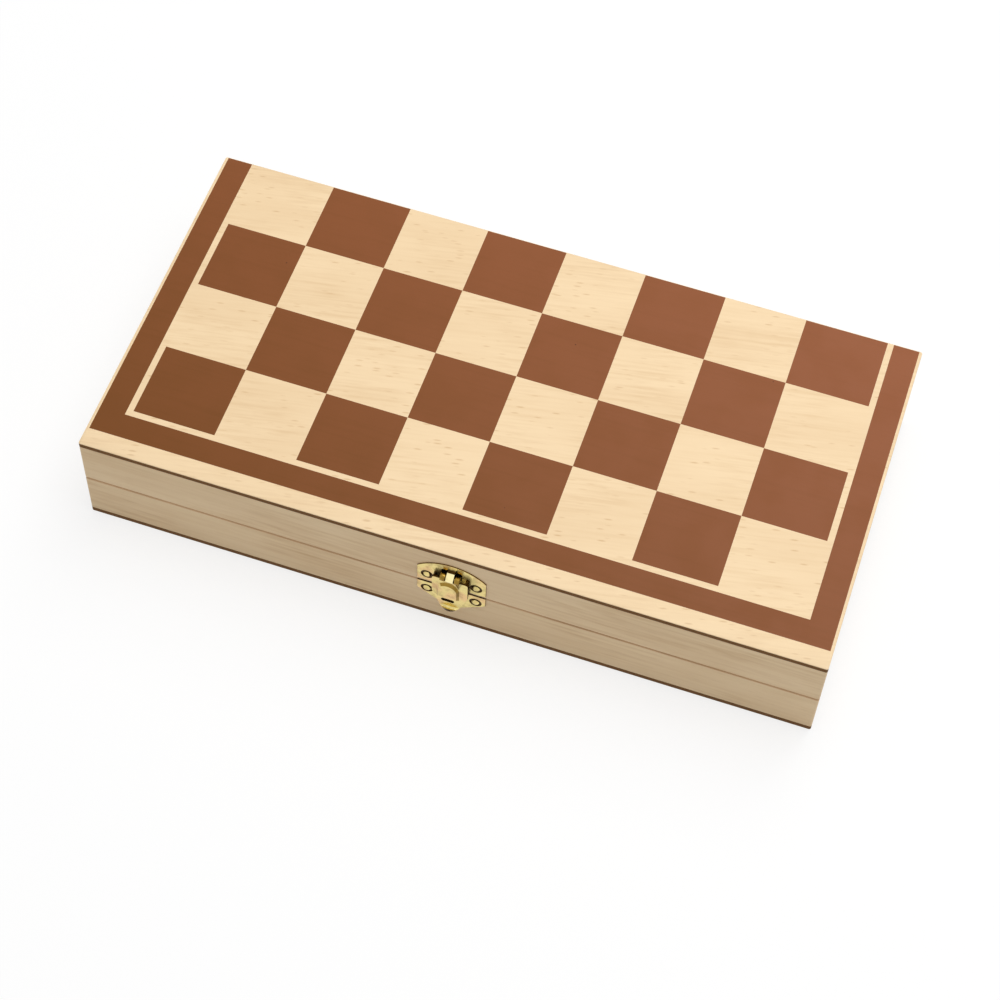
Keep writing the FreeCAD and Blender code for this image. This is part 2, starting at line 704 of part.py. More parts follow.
def make_hinge_pin(where, side):
    """The pin through a hinge's three knuckles."""
    name = f"{where}_hinge_pin"
    start = f"{side} * sizes.hinge_spacing / 2 - sizes.hinge_length / 2"
    finished(name, rod(name, start, HINGE_Y, SEAM, "sizes.hinge_pin_radius", "sizes.hinge_length", ALONG_X))


def make_screws():
    """The countersunk hinge screws of each half."""
    body = new_body("screw_form")
    points = [
        ("0", "-sizes.screw_length", 0),
        ("sizes.screw_radius", "-sizes.screw_length + 2 * sizes.screw_radius", 0),
        ("sizes.screw_radius", "-sizes.leaf_thickness", 0),
        ("sizes.screw_head_radius", "0", 0), ("0", "0", 0),
    ]
    revolve(body, outline(body, "screw_outline", "XZ_Plane", points))
    for half in HALVES:
        screws = []
        for side in (-1, 1):
            for end in (-1, 1):
                screw = copy_of(body, f"{half.name}_screw")
                x = f"{side} * sizes.hinge_spacing / 2 + {end} * sizes.screw_spacing / 2"
                half.lay(screw, x, SCREW_Y, HALF_HEIGHT)
                screws.append(screw)
        group(f"{half.name}_hinge_screws", screws)


def nail_holes(body, sign):
    """Cut a latch plate's two nail holes; sign is +1 on the upper plate."""
    for where, side in (("left", -1), ("right", 1)):
        hole = circle(
            body, f"{body.Name}_{where}_hole", "XZ_Plane", f"{side} * sizes.nail_spacing / 2",
            f"{sign} * sizes.nail_offset", NAIL_HOLE, "sizes.plate_thickness",
        )
        pocket(body, hole, "sizes.plate_thickness")


def make_upper_plate():
    """The upper latch plate: a domed plate with a window and, across it, the strap that holds the pin."""
    name = "latch_upper_plate"
    body = new_body(name)
    half_width, low, side = "sizes.plate_width / 2", "sizes.plate_split / 2", "sizes.upper_plate_side"
    dome = "(sizes.upper_plate_rise - sizes.upper_plate_side) / sizes.plate_width"
    points = [
        (f"-{half_width}", low, 0), (half_width, low, 0),
        (half_width, side, dome), (f"-{half_width}", side, 0),
    ]
    pad(body, outline(body, f"{name}_outline", "XZ_Plane", points), "sizes.plate_thickness")
    window = rectangle(f"-{WINDOW_SIDE}", WINDOW_SIDE, WINDOW_LOW, WINDOW_TOP)
    sketch = outline(body, f"{name}_window", "XZ_Plane", window, "sizes.plate_thickness")
    pocket(body, sketch, "sizes.plate_thickness")
    nail_holes(body, 1)
    root, stand = f"{WINDOW_TOP} + sizes.plate_thickness", "-sizes.pivot_stand"
    lean = f"{DIAGONAL_SHARE} * sizes.roll_radius"
    strap = [
        ("-sizes.plate_thickness / 2", root, 0), ("-sizes.plate_thickness", root, 0),
        (f"{stand} - {lean}", f"{PIVOT} + {lean}", THREE_EIGHTHS_SHARE),
        (stand, f"{PIVOT} - sizes.roll_radius", QUARTER_SHARE), (f"{stand} + sizes.roll_radius", PIVOT, 0),
    ]
    half_strap = "sizes.strap_width / 2"
    pad(body, outline(body, f"{name}_strap", "YZ_Plane", strap, f"-{half_strap}"), "sizes.strap_width")
    bore = circle(body, f"{name}_bore", "YZ_Plane", stand, PIVOT, PIN_HOLE, half_strap)
    pocket(body, bore, "sizes.strap_width")
    put(body, LATCH_PLACE)
    finished(name, body)


def make_catch_plate():
    """The lower latch plate, with the lip that the tongue closes over."""
    name = "latch_catch_plate"
    body = new_body(name)
    half_width, toe = "sizes.plate_width / 2", "sizes.catch_toe_width / 2"
    high, side = "-sizes.plate_split / 2", "-sizes.catch_plate_side"
    low = "-(sizes.catch_plate_drop - sizes.catch_toe_round)"
    points = [
        (half_width, high, 0), (f"-{half_width}", high, 0), (f"-{half_width}", side, 0),
        (f"-{toe}", low, "sizes.catch_toe_round / sizes.catch_toe_width"),
        (toe, low, 0), (half_width, side, 0),
    ]
    pad(body, outline(body, f"{name}_outline", "XZ_Plane", points), "sizes.plate_thickness")
    nail_holes(body, -1)
    root, crest = "-sizes.plate_thickness / 2", "-(sizes.plate_thickness + sizes.catch_lip_height)"
    middle, run = "-sizes.catch_lip_drop", "sizes.catch_lip_length / 2"
    lip = [
        (root, f"{middle} + {run}", 0), ("-sizes.plate_thickness", f"{middle} + {run}", 0),
        (crest, middle, 0), (crest, f"{middle} - {run}", 0), (root, f"{middle} - {run}", 0),
    ]
    sketch = outline(body, f"{name}_lip", "YZ_Plane", lip, "-sizes.catch_lip_width / 2")
    pad(body, sketch, "sizes.catch_lip_width")
    put(body, LATCH_PLACE)
    finished(name, body)


def tongue_section():
    """The tongue seen from the side, over its whole width: blade, crease and flared tip."""
    body = new_body("tongue_section")
    inner, outer = "-sizes.tongue_stand", "-(sizes.tongue_stand + sizes.tongue_sheet)"
    crease, run, tip = "-sizes.crease_drop", "sizes.crease_rise", "-sizes.tongue_reach"
    points = [
        (inner, PIVOT, 0), (outer, PIVOT, 0), (outer, f"{crease} + {run}", 0),
        (f"{outer} + sizes.crease_depth", crease, 0), (outer, f"{crease} - {run}", 0),
        (f"{outer} - sizes.tip_flare", tip, 0), (f"{inner} - sizes.tip_flare", tip, 0),
        (inner, f"{crease} - {run}", 0), (f"{inner} + sizes.crease_hook", crease, 0),
        (inner, f"{crease} + {run}", 0),
    ]
    sketch = outline(body, "tongue_section_outline", "YZ_Plane", points, "-sizes.tongue_width / 2")
    pad(body, sketch, "sizes.tongue_width")
    return body


def tongue_front():
    """The tongue seen from the front: forked neck, shoulders, taper and round tip."""
    body = new_body("tongue_front")
    wide, tip = "sizes.tongue_width / 2", "sizes.tongue_tip_width / 2"
    shoulder, taper = f"{PIVOT} - sizes.shoulder_drop", "-sizes.taper_drop"
    low = "-(sizes.tongue_reach - sizes.tip_round)"
    points = [
        (f"-{ROLL_END}", PIVOT, 0), (f"-{ROLL_END}", shoulder, 0), (f"-{wide}", shoulder, 0),
        (f"-{wide}", taper, 0), (f"-{tip}", low, "sizes.tip_round / sizes.tongue_tip_width"), (tip, low, 0),
        (wide, taper, 0), (wide, shoulder, 0), (ROLL_END, shoulder, 0), (ROLL_END, PIVOT, 0),
        (ROLL_START, PIVOT, 0), (ROLL_START, WINDOW_LOW, 0), (f"-{ROLL_START}", WINDOW_LOW, 0),
        (f"-{ROLL_START}", PIVOT, 0),
    ]
    depth = "(sizes.tongue_stand + sizes.tongue_sheet + sizes.tip_flare + sizes.cut_overrun)"
    pad(body, outline(body, "tongue_front_outline", "XZ_Plane", points), depth)
    return body


def tongue_ridge():
    """The raised middle of the tongue, round at its top."""
    body = new_body("tongue_ridge")
    half_width = "sizes.ridge_width / 2"
    low = "-sizes.crease_drop + sizes.crease_rise"
    points = [
        (half_width, f"{WINDOW_LOW} - {half_width}", QUARTER_SHARE), ("0", WINDOW_LOW, QUARTER_SHARE),
        (f"-{half_width}", f"{WINDOW_LOW} - {half_width}", 0), (f"-{half_width}", low, 0), (half_width, low, 0),
    ]
    start = "sizes.tongue_stand + sizes.tongue_sheet / 2"
    sketch = outline(body, "tongue_ridge_outline", "XZ_Plane", points, start)
    pad(body, sketch, "sizes.tongue_sheet / 2 + sizes.ridge_height")
    return body


def make_tongue():
    """The latch tongue, rolled round its pin on both sides of the strap, and the pin itself."""
    blade = DOC.addObject("Part::Common", "tongue_blade")
    blade.Base = tongue_section()
    blade.Tool = tongue_front()
    stand, length = "-sizes.pivot_stand", "sizes.roll_width"
    rolls = [
        rod(f"tongue_{where}_roll", start, stand, PIVOT, "sizes.roll_radius", length, ALONG_X)
        for where, start in (("left", f"-{ROLL_END}"), ("right", ROLL_START))
    ]
    bore = rod("tongue_bore", f"-{ROLL_END}", stand, PIVOT, PIN_HOLE, f"2 * {ROLL_END}", ALONG_X)
    tongue = cut("latch_tongue", joined("tongue_solid", [blade, tongue_ridge(), *rolls]), [bore])
    put(tongue, LATCH_PLACE)
    finished("latch_tongue", tongue)
    pin = rod(
        "latch_pin", f"sizes.latch_offset - {ROLL_END}", f"{FRONT} - sizes.pivot_stand",
        f"{SEAM} + sizes.latch_rise + {PIVOT}", "sizes.latch_pin_radius", f"2 * {ROLL_END}", ALONG_X,
    )
    finished("latch_pin", pin)


def make_nails():
    """The round-headed nails of each latch plate."""
    body = new_body("nail_form")
    points = [
        ("0", "-sizes.nail_length", 0),
        ("sizes.nail_radius", "-sizes.nail_length + 2 * sizes.nail_radius", 0),
        ("sizes.nail_radius", "0", 0), ("sizes.nail_head_radius", "0", DOME_SHARE),
        ("0", "sizes.nail_head_height", 0),
    ]
    revolve(body, outline(body, "nail_outline", "XZ_Plane", points))
    for half in HALVES:
        nails = []
        for side in (-1, 1):
            nail = copy_of(body, f"{half.name}_nail")
            x = f"sizes.latch_offset + {side} * sizes.nail_spacing / 2"
            z = f"{SEAM} + sizes.latch_rise - {half.sign} * sizes.nail_offset"
            put(nail, (x, f"{FRONT} - sizes.plate_thickness", z), HEAD_TO_FRONT)
            nails.append(nail)
        group(f"latch_{half.name}_nails", nails)


def build():
    """Make every piece of the set."""
    forms, felts, magnet = make_forms()
    for half in HALVES:
        make_panel(half)
        make_sheet(half)
        make_front_wall(half)
        make_rear_wall(half)
        make_tray(half)
        make_men(half, forms, felts, magnet)
        for where, side in (("left", -1), ("right", 1)):
            make_side_wall(half, where, side)
            make_leaf(half, where, side)
    for where, side in (("left", -1), ("right", 1)):
        make_hinge_pin(where, side)
    make_screws()
    make_upper_plate()
    make_catch_plate()
    make_tongue()
    make_nails()
    DOC.recompute()


def check():
    """Stop if any piece failed or has no sound shape."""
    for item in DOC.Objects:
        if "Invalid" in item.State or "Error" in item.State:
            raise RuntimeError(f"{item.Name} failed: {item.State}")
    for name, item in NODES.items():
        if item.Shape.isNull() or not item.Shape.isValid() or not item.Shape.Solids:
            raise RuntimeError(f"{name} has no sound shape")


def write():
    """Write each piece to its own file."""
    os.makedirs("parts", exist_ok=True)
    for name, item in NODES.items():
        item.Shape.exportStep(f"parts/{name}.step")


build()
check()
write()
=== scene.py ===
"""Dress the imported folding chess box: printed boards, beech walls, brass, foam trays and chessmen."""

import logging
import math
from abc import ABC, abstractmethod
from dataclasses import dataclass
from enum import Enum, IntEnum

import bmesh
import bpy
from bmesh.types import BMesh
from mathutils import Matrix, Vector


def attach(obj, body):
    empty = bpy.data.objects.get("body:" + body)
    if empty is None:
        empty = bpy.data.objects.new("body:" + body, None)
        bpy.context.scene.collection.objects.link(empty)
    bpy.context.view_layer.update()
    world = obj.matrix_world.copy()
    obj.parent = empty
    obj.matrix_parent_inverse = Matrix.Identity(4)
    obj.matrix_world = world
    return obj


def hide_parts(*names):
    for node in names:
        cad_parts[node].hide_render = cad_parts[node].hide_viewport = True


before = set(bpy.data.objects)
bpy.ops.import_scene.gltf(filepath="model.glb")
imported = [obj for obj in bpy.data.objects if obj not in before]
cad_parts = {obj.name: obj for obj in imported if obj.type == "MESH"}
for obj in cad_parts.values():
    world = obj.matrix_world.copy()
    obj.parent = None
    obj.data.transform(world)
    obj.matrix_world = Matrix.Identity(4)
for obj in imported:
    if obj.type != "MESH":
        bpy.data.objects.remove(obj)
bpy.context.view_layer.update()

LOG = logging.getLogger("chess_box")
MM = 0.001
WELD = 0.0005 * MM
QUARTER_TURN = math.pi / 2
HALF_TURN = math.pi
FULL_TURN = 2 * math.pi
QUARTER_BULGE = (math.sqrt(2) - 1) / 2
SMOOTH_ANGLE = math.radians(38)

Colour = tuple[float, float, float, float]
Corner = tuple[float, float, float]
Place = tuple[float, float, float]
Edges = list[bmesh.types.BMEdge]
Socket = bpy.types.NodeSocket


def srgb(red: int, green: int, blue: int) -> Colour:
    """Turn a display colour into the linear values that sockets take.

    Args:
        red: Red, 0 to 255.
        green: Green, 0 to 255.
        blue: Blue, 0 to 255.

    Returns:
        The linear colour with full alpha.
    """
    shares = [channel / 255 for channel in (red, green, blue)]
    linear = [s / 12.92 if s <= 0.04045 else ((s + 0.055) / 1.055) ** 2.4 for s in shares]
    return (linear[0], linear[1], linear[2], 1.0)


@dataclass(frozen=True)
class Box:
    """Sizes of the closed box that its sub-assemblies share."""

    length: float = 290 * MM
    depth: float = 148 * MM
    height: float = 47 * MM
    seam_gap: float = 0.2 * MM
    panel: float = 2.4 * MM
    sheet: float = 0.4 * MM
    wall: float = 7 * MM
    corner: float = 0.8 * MM
    fit: float = 0.3 * MM

    @property
    def side(self) -> float:
        """Half the length."""
        return self.length / 2

    @property
    def rear(self) -> float:
        """Half the depth."""
        return self.depth / 2

    @property
    def seam(self) -> float:
        """Height of the seam."""
        return self.height / 2

    @property
    def rim(self) -> float:
        """Height of the lower half's rim."""
        return self.seam - self.seam_gap / 2


BOX = Box()


class Half(Enum):
    """The two halves of the box."""

    LOWER = "lower"
    UPPER = "upper"

    @property
    def body(self) -> str:
        """Name of the body that this half's pieces ride on."""
        return f"{self.value}_half"

    @property
    def men(self) -> str:
        """Colour of the chessmen in this half."""
        return "black" if self is Half.LOWER else "white"

    def lay(self, mesh: BMesh) -> BMesh:
        """Turn a mesh that is drawn for the lower half into this half and return it."""
        return spun(mesh, HALF_TURN, "Y", (0, 0, BOX.seam)) if self is Half.UPPER else mesh


class Side(Enum):
    """Left or right along the box's length."""

    LEFT = -1
    RIGHT = 1

    @property
    def word(self) -> str:
        """The side in lower case."""
        return self.name.lower()


class Axis(IntEnum):
    """Number of a coordinate."""

    Y = 1
    Z = 2


class Plane(Enum):
    """The plane that an outline is drawn in, as the axes of its two coordinates and of its thickness."""

    PLAN = ((1, 0, 0), (0, 1, 0), (0, 0, 1))
    FRONT = ((1, 0, 0), (0, 0, 1), (0, -1, 0))
    SIDE = ((0, 1, 0), (0, 0, 1), (1, 0, 0))

    def point(self, across: float, up: float, out: float) -> Vector:
        """Place a point of an outline in space."""
        axes = [Vector(axis) for axis in self.value]
        return across * axes[0] + up * axes[1] + out * axes[2]

    @property
    def normal(self) -> Vector:
        """Direction of the thickness."""
        return Vector(self.value[2])


class Tone(IntEnum):
    """Which of a piece's finishes a face has: the plain face, painted shade on edges, painted shade on shaded
    sides and in recesses, a painted highlight, or deep painted shade.
    """

    FACE = 0
    EDGE = 1
    PAINTED_SHADE = 2
    BRIGHT = 3
    DARK = 4


class Join(Enum):
    """How one mesh is combined with another."""

    ADD = "UNION"
    CUT = "DIFFERENCE"


class Grain(Enum):
    """Direction of a wood's grain."""

    ALONG_X = 0
    ALONG_Y = 1

    def stretch(self, along: float, across: float) -> tuple[float, ...]:
        """Size of a pattern that is this long along the grain and this wide across it."""
        return tuple(along if axis == self.value else across for axis in range(3))


def even(size: float) -> tuple[float, float, float]:
    """Size of a pattern that is the same every way."""
    return (size,) * 3


def arc(start: Vector, end: Vector, bulge: float, steps: int) -> list[Vector]:
    """Sample an arc between two points of an outline.

    Args:
        start: First point, which is part of the result.
        end: Last point, which isn't.
        bulge: Rise over the chord as a share of it, to the right of the way.
        steps: Number of stretches.

    Returns:
        The points.
    """
    if bulge == 0:
        return [start]
    way = (end - start).normalized()
    out = Vector((way.y, -way.x))
    half_angle = 2 * math.atan(2 * bulge)
    radius = (end - start).length / 2 / math.sin(half_angle)
    centre = (start + end) / 2 - out * radius * math.cos(half_angle)
    angles = [half_angle * (2 * step / steps - 1) for step in range(steps)]
    return [centre + radius * (out * math.cos(a) + way * math.sin(a)) for a in angles]


def rounded(corners: list[Corner], closed: bool = True, steps: int = 10) -> list[Vector]:
    """Draw an outline with arcs between its corners.

    Args:
        corners: Coordinates of each corner and the bulge of the next stretch.
        closed: Whether the last corner leads back to the first.
        steps: Number of stretches in each arc.

    Returns:
        The points of the outline.
    """
    places = [Vector((across, up)) for across, up, _ in corners]
    following = places[1:] + places[:1]
    stretches = list(zip(places, following, corners))
    points: list[Vector] = []
    for start, end, (_, _, bulge) in stretches if closed else stretches[:-1]:
        points += arc(start, end, bulge, steps)
    return points if closed else points + places[-1:]


def mirrored(half: list[Corner]) -> list[Corner]:
    """Go on from a half outline with its mirror image, back to its start."""
    return half + [(-across, up, 0) for across, up, _ in reversed(half)]


def thicken(mesh: BMesh, way: Vector) -> None:
    """Give a flat mesh a thickness along a way."""
    grown = bmesh.ops.extrude_face_region(mesh, geom=mesh.faces[:], use_keep_orig=True)
    lifted = [item for item in grown["geom"] if isinstance(item, bmesh.types.BMVert)]
    bmesh.ops.translate(mesh, vec=way, verts=lifted)


def plate(points: list[Vector], plane: Plane, start: float, depth: float, rim: Tone = Tone.FACE) -> BMesh:
    """Make a flat piece from an outline.

    Args:
        points: The outline.
        plane: The plane that it is drawn in.
        start: Where the piece starts along its thickness.
        depth: Its thickness.
        rim: Finish of the faces round its edge.

    Returns:
        A new closed mesh.
    """
    mesh = bmesh.new()
    mesh.faces.new([mesh.verts.new(plane.point(p.x, p.y, start)) for p in points])
    thicken(mesh, plane.normal * depth)
    bmesh.ops.recalc_face_normals(mesh, faces=mesh.faces)
    for face in mesh.faces:
        if abs(face.normal.dot(plane.normal)) < 0.5:
            face.material_index = rim
    return mesh


def painted(mesh: BMesh, tone: Tone) -> BMesh:
    """Give every face of a mesh the same finish and return it."""
    for face in mesh.faces:
        face.material_index = tone
    return mesh


def slab(low: tuple[float, ...], high: tuple[float, ...]) -> BMesh:
    """Make a block between two corners, for carving and rounding."""
    mesh = bmesh.new()
    size = Vector(high) - Vector(low)
    place = Matrix.Translation((Vector(high) + Vector(low)) / 2) @ Matrix.Diagonal(size).to_4x4()
    bmesh.ops.create_cube(mesh, size=1, matrix=place)
    return mesh


def rod(start: tuple[float, ...], axis: str, length: float, radius: float, segments: int = 40) -> BMesh:
    """Make a round bar from a point along an axis.

    Args:
        start: Middle of its first end.
        axis: The axis that it runs along, "X", "Y" or "Z".
        length: Its length, with a sign.
        radius: Its radius.
        segments: Number of sides.

    Returns:
        A new closed mesh.
    """
    mesh = bmesh.new()
    ways = {"X": Vector((1, 0, 0)), "Y": Vector((0, 1, 0)), "Z": Vector((0, 0, 1))}
    turn = ways[axis].to_track_quat("Z", "Y").to_matrix().to_4x4()
    place = Matrix.Translation(Vector(start) + ways[axis] * length / 2) @ turn
    bmesh.ops.create_cone(
        mesh, cap_ends=True, segments=segments, radius1=radius, radius2=radius, depth=abs(length),
        matrix=place,
    )
    return mesh


def revolved(mesh: BMesh, outline: list, steps: int) -> BMesh:
    """Turn corners and edges of a mesh about the upright axis and close the form.

    Args:
        mesh: The mesh, which is changed.
        outline: The corners and edges.
        steps: Number of sides.

    Returns:
        The same mesh.
    """
    bmesh.ops.spin(
        mesh, geom=outline, cent=(0, 0, 0), axis=(0, 0, 1), dvec=(0, 0, 0),
        angle=FULL_TURN, steps=steps, use_merge=True, use_duplicate=False,
    )
    bmesh.ops.remove_doubles(mesh, verts=mesh.verts, dist=WELD)
    bmesh.ops.recalc_face_normals(mesh, faces=mesh.faces)
    return mesh


def turned(points: list[Vector], steps: int = 48) -> BMesh:
    """Turn an outline about the upright axis.

    Args:
        points: Radius and height of each point, from the underside to the top.
        steps: Number of sides.

    Returns:
        A new closed mesh.
    """
    mesh = bmesh.new()
    corners = [mesh.verts.new((point.x, 0, point.y)) for point in points]
    edges = [mesh.edges.new(pair) for pair in zip(corners, corners[1:])]
    return revolved(mesh, corners + edges, steps)


def stored(mesh: BMesh, name: str, empty_slots: int = 0) -> bpy.types.Mesh:
    """Store a mesh as data.

    Args:
        mesh: The mesh, which is freed.
        name: Name of the data.
        empty_slots: Number of material slots that it gets.

    Returns:
        The data.
    """
    data = bpy.data.meshes.new(name)
    for _ in range(empty_slots):
        data.materials.append(None)
    mesh.to_mesh(data)
    mesh.free()
    return data


def added(name: str, data: bpy.types.ID) -> bpy.types.Object:
    """Put a new object with this data into the scene and return it."""
    item = bpy.data.objects.new(name, data)
    bpy.context.scene.collection.objects.link(item)
    return item


def together(meshes: list[BMesh]) -> BMesh:
    """Put separate closed meshes into one.

    Args:
        meshes: The meshes, which are freed.

    Returns:
        A new mesh.
    """
    whole = bmesh.new()
    for mesh in meshes:
        data = stored(mesh, "part")
        whole.from_mesh(data)
        bpy.data.meshes.remove(data)
    return whole


def combined(base: BMesh, tool: BMesh, join: Join) -> BMesh:
    """Add a closed mesh to another, or cut it out.

    Args:
        base: The mesh that is changed, which is freed.
        tool: The mesh that is added or cut out, which is freed.
        join: Which of the two.

    Returns:
        A new mesh.
    """
    items = [added("workpiece", stored(mesh, "workpiece", len(Tone))) for mesh in (base, tool)]
    modifier = items[0].modifiers.new("combine", "BOOLEAN")
    modifier.operation = join.value
    modifier.solver = "EXACT"
    modifier.object = items[1]
    depsgraph = bpy.context.evaluated_depsgraph_get()
    made = bpy.data.meshes.new_from_object(items[0].evaluated_get(depsgraph))
    result = bmesh.new()
    result.from_mesh(made)
    spent = [item.data for item in items] + [made]
    for item in items:
        bpy.data.objects.remove(item)
    for data in spent:
        bpy.data.meshes.remove(data)
    bmesh.ops.remove_doubles(result, verts=result.verts, dist=WELD)
    return result


def soften(mesh: BMesh, width: float, segments: int = 3, least: float = 30.0) -> BMesh:
    """Round the sharp edges of a mesh.

    Args:
        mesh: The mesh, which is changed.
        width: Width of the rounding.
        segments: Number of facets in it.
        least: Smallest turn of an edge that is rounded, in degrees.

    Returns:
        The same mesh.
    """
    limit = math.radians(least)
    sharp = [edge for edge in mesh.edges if edge.is_manifold and edge.calc_face_angle() > limit]
    return ease(mesh, sharp, width, segments)


def ease(mesh: BMesh, edges: Edges, width: float, segments: int = 3) -> BMesh:
    """Round chosen edges of a mesh.

    Args:
        mesh: The mesh, which is changed.
        edges: The edges.
        width: Width of the rounding.
        segments: Number of facets in it.

    Returns:
        The same mesh.
    """
    bmesh.ops.bevel(
        mesh, geom=edges, offset=width, offset_type="OFFSET", affect="EDGES", segments=segments,
        profile=0.5, material=-1, clamp_overlap=True,
    )
    return mesh


def shifted(mesh: BMesh, place: tuple[float, ...]) -> BMesh:
    """Move a mesh and return it."""
    bmesh.ops.translate(mesh, vec=Vector(place), verts=mesh.verts)
    return mesh


def spun(mesh: BMesh, angle: float, axis: str, centre: Place = (0, 0, 0)) -> BMesh:
    """Rotate a mesh about an axis through a point and return it."""
    bmesh.ops.rotate(mesh, cent=centre, matrix=Matrix.Rotation(angle, 3, axis), verts=mesh.verts)
    return mesh


def edges_at(mesh: BMesh, axis: Axis, level: float) -> Edges:
    """Edges that lie at a level along an axis."""
    return [edge for edge in mesh.edges if all(abs(vert.co[axis] - level) < WELD for vert in edge.verts)]


def edges_through(mesh: BMesh, least: float) -> Edges:
    """Edges that run further than this from front to rear."""
    return [edge for edge in mesh.edges if abs(edge.verts[0].co.y - edge.verts[1].co.y) > least]


def divide(mesh: BMesh, height: float) -> None:
    """Divide the faces of a mesh at a height."""
    parts = mesh.verts[:] + mesh.edges[:] + mesh.faces[:]
    bmesh.ops.bisect_plane(mesh, geom=parts, dist=WELD, plane_co=(0, 0, height), plane_no=(0, 0, 1))


@dataclass(frozen=True)
class Pattern:
    """A soft pattern from a noise, as its size, the levels that become 0 and 1, and its finer layers."""

    along: float
    across: float
    low: float
    high: float
    detail: float = 2.0


WOOD_STREAK = Pattern(26, 1, 0.38, 0.74, 3)
WOOD_BLOTCH = Pattern(11, 1.5, 0.42, 0.72)
WOOD_CLOUD = Pattern(60, 18, 0.35, 0.7)
WOOD_PATCH = Pattern(40, 24, 0.36, 0.62, 1)
PRINT_MOTTLE = Pattern(16, 16, 0.35, 0.7, 3)
PRINT_STREAK = Pattern(40, 1.6, 0.45, 0.75, 3)
BRASS_CLOUD = Pattern(3.4, 3.4, 0.4, 0.64)


class NodeSheet:
    """The node tree of one material while it is being made."""

    def __init__(self, name: str) -> None:
        """Start a material with its principled shader."""
        self.material = bpy.data.materials.new(name)
        self.material.use_nodes = True
        self.tree = self.material.node_tree
        self.surface = self.tree.nodes["Principled BSDF"]

    def feed(self, node: bpy.types.Node, sockets: dict) -> None:
        """Set a node's inputs.

        Args:
            node: The node.
            sockets: For each input's name or number, a value or another node's output.
        """
        for key, value in sockets.items():
            if isinstance(value, Socket):
                self.tree.links.new(value, node.inputs[key])
            else:
                node.inputs[key].default_value = value

    def cover(self, sockets: dict) -> None:
        """Set inputs of the surface, as in feed."""
        self.feed(self.surface, sockets)

    def add(self, kind: str, sockets: dict, **settings: object) -> bpy.types.Node:
        """Add a node.

        Args:
            kind: Its type.
            sockets: Its inputs, as in feed.
            **settings: Its own properties.

        Returns:
            The node.
        """
        node = self.tree.nodes.new(kind)
        for key, value in settings.items():
            setattr(node, key, value)
        self.feed(node, sockets)
        return node

    def measured(self, size: tuple[float, ...], turn: float = 0.0) -> Socket:
        """Object coordinates in units of a pattern's size, turned about the upright axis."""
        place = self.add("ShaderNodeTexCoord", {})
        sockets = {"Vector": place.outputs["Object"], "Scale": size, "Rotation": (0, 0, turn)}
        return self.add("ShaderNodeMapping", sockets, vector_type="TEXTURE").outputs[0]

    def noise(
        self, size: tuple[float, ...], detail: float = 2.0, rough: float = 0.5, turn: float = 0.0,
    ) -> Socket:
        """A soft noise between 0 and 1.

        Args:
            size: Size of the pattern, as Grain.stretch or even gives it.
            detail: Number of finer layers.
            rough: Strength of the finer layers.
            turn: Turn of the pattern about the upright axis.

        Returns:
            The value.
        """
        sockets = {"Vector": self.measured(size, turn), "Scale": 1.0, "Detail": detail, "Roughness": rough}
        return self.add("ShaderNodeTexNoise", sockets).outputs[0]

    def spots(
        self, size: tuple[float, ...], core: float, edge: float, share: float, turn: float = 0.0,
    ) -> Socket:
        """Scattered soft spots, 1 in the middle of each.

        Args:
            size: Size of a cell, which has one spot at most.
            core: Radius of a spot's middle, in cells.
            edge: Radius where it ends.
            share: Share of the cells that have a spot.
            turn: Turn of the pattern about the upright axis.

        Returns:
            The value.
        """
        cells = self.add("ShaderNodeTexVoronoi", {"Vector": self.measured(size, turn), "Scale": 1.0})
        spot = self.ranged(cells.outputs["Distance"], core, edge, 1.0, 0.0)
        chosen = self.add("ShaderNodeSeparateColor", {"Color": cells.outputs["Color"]}).outputs[0]
        gate = self.add("ShaderNodeMath", {0: chosen, 1: share}, operation="LESS_THAN").outputs[0]
        return self.product(spot, gate)

    def product(self, first: Socket, second: Socket | float) -> Socket:
        """Multiply two values."""
        return self.add("ShaderNodeMath", {0: first, 1: second}, operation="MULTIPLY").outputs[0]

    def slope(self, way: tuple[float, float, float]) -> Socket:
        """A value that rises evenly along a way from 0 to 1 and is a half in the middle of the box."""
        place = self.add("ShaderNodeTexCoord", {})
        sockets = {0: place.outputs["Object"], 1: way}
        along = self.add("ShaderNodeVectorMath", sockets, operation="DOT_PRODUCT").outputs["Value"]
        return self.add("ShaderNodeMath", {0: along, 1: 0.5}, operation="ADD").outputs[0]

    def ranged(
        self, value: Socket, low: float, high: float, to_low: float = 0.0, to_high: float = 1.0,
    ) -> Socket:
        """Stretch a value from one range to another, smoothly and clamped.

        Args:
            value: The value.
            low: Start of its range.
            high: End of its range.
            to_low: What the start becomes.
            to_high: What the end becomes.

        Returns:
            The new value.
        """
        sockets = {"Value": value, "From Min": low, "From Max": high, "To Min": to_low, "To Max": to_high}
        return self.add("ShaderNodeMapRange", sockets, interpolation_type="SMOOTHSTEP").outputs[0]

    def patches(
        self, pattern: Pattern, grain: Grain = Grain.ALONG_X, turn: float = 0.0, unit: float = MM,
    ) -> Socket:
        """A pattern between 0 and 1, in a unit of size, turned about the upright axis."""
        size = grain.stretch(pattern.along * unit, pattern.across * unit)
        return self.ranged(self.noise(size, pattern.detail, turn=turn), pattern.low, pattern.high)

    def total(self, terms: list[tuple[Socket, float]]) -> Socket:
        """Add values up.

        Args:
            terms: Each value and its weight.

        Returns:
            The sum.
        """
        result: Socket | float = 0.0
        for value, weight in terms:
            sockets = {0: value, 1: weight, 2: result}
            result = self.add("ShaderNodeMath", sockets, operation="MULTIPLY_ADD").outputs[0]
        return result

    def blend(self, share: Socket, first: object, second: object) -> Socket:
        """Mix two colours or outputs by the share of the second one."""
        return self.add("ShaderNodeMix", {0: share, 6: first, 7: second}, data_type="RGBA").outputs[2]

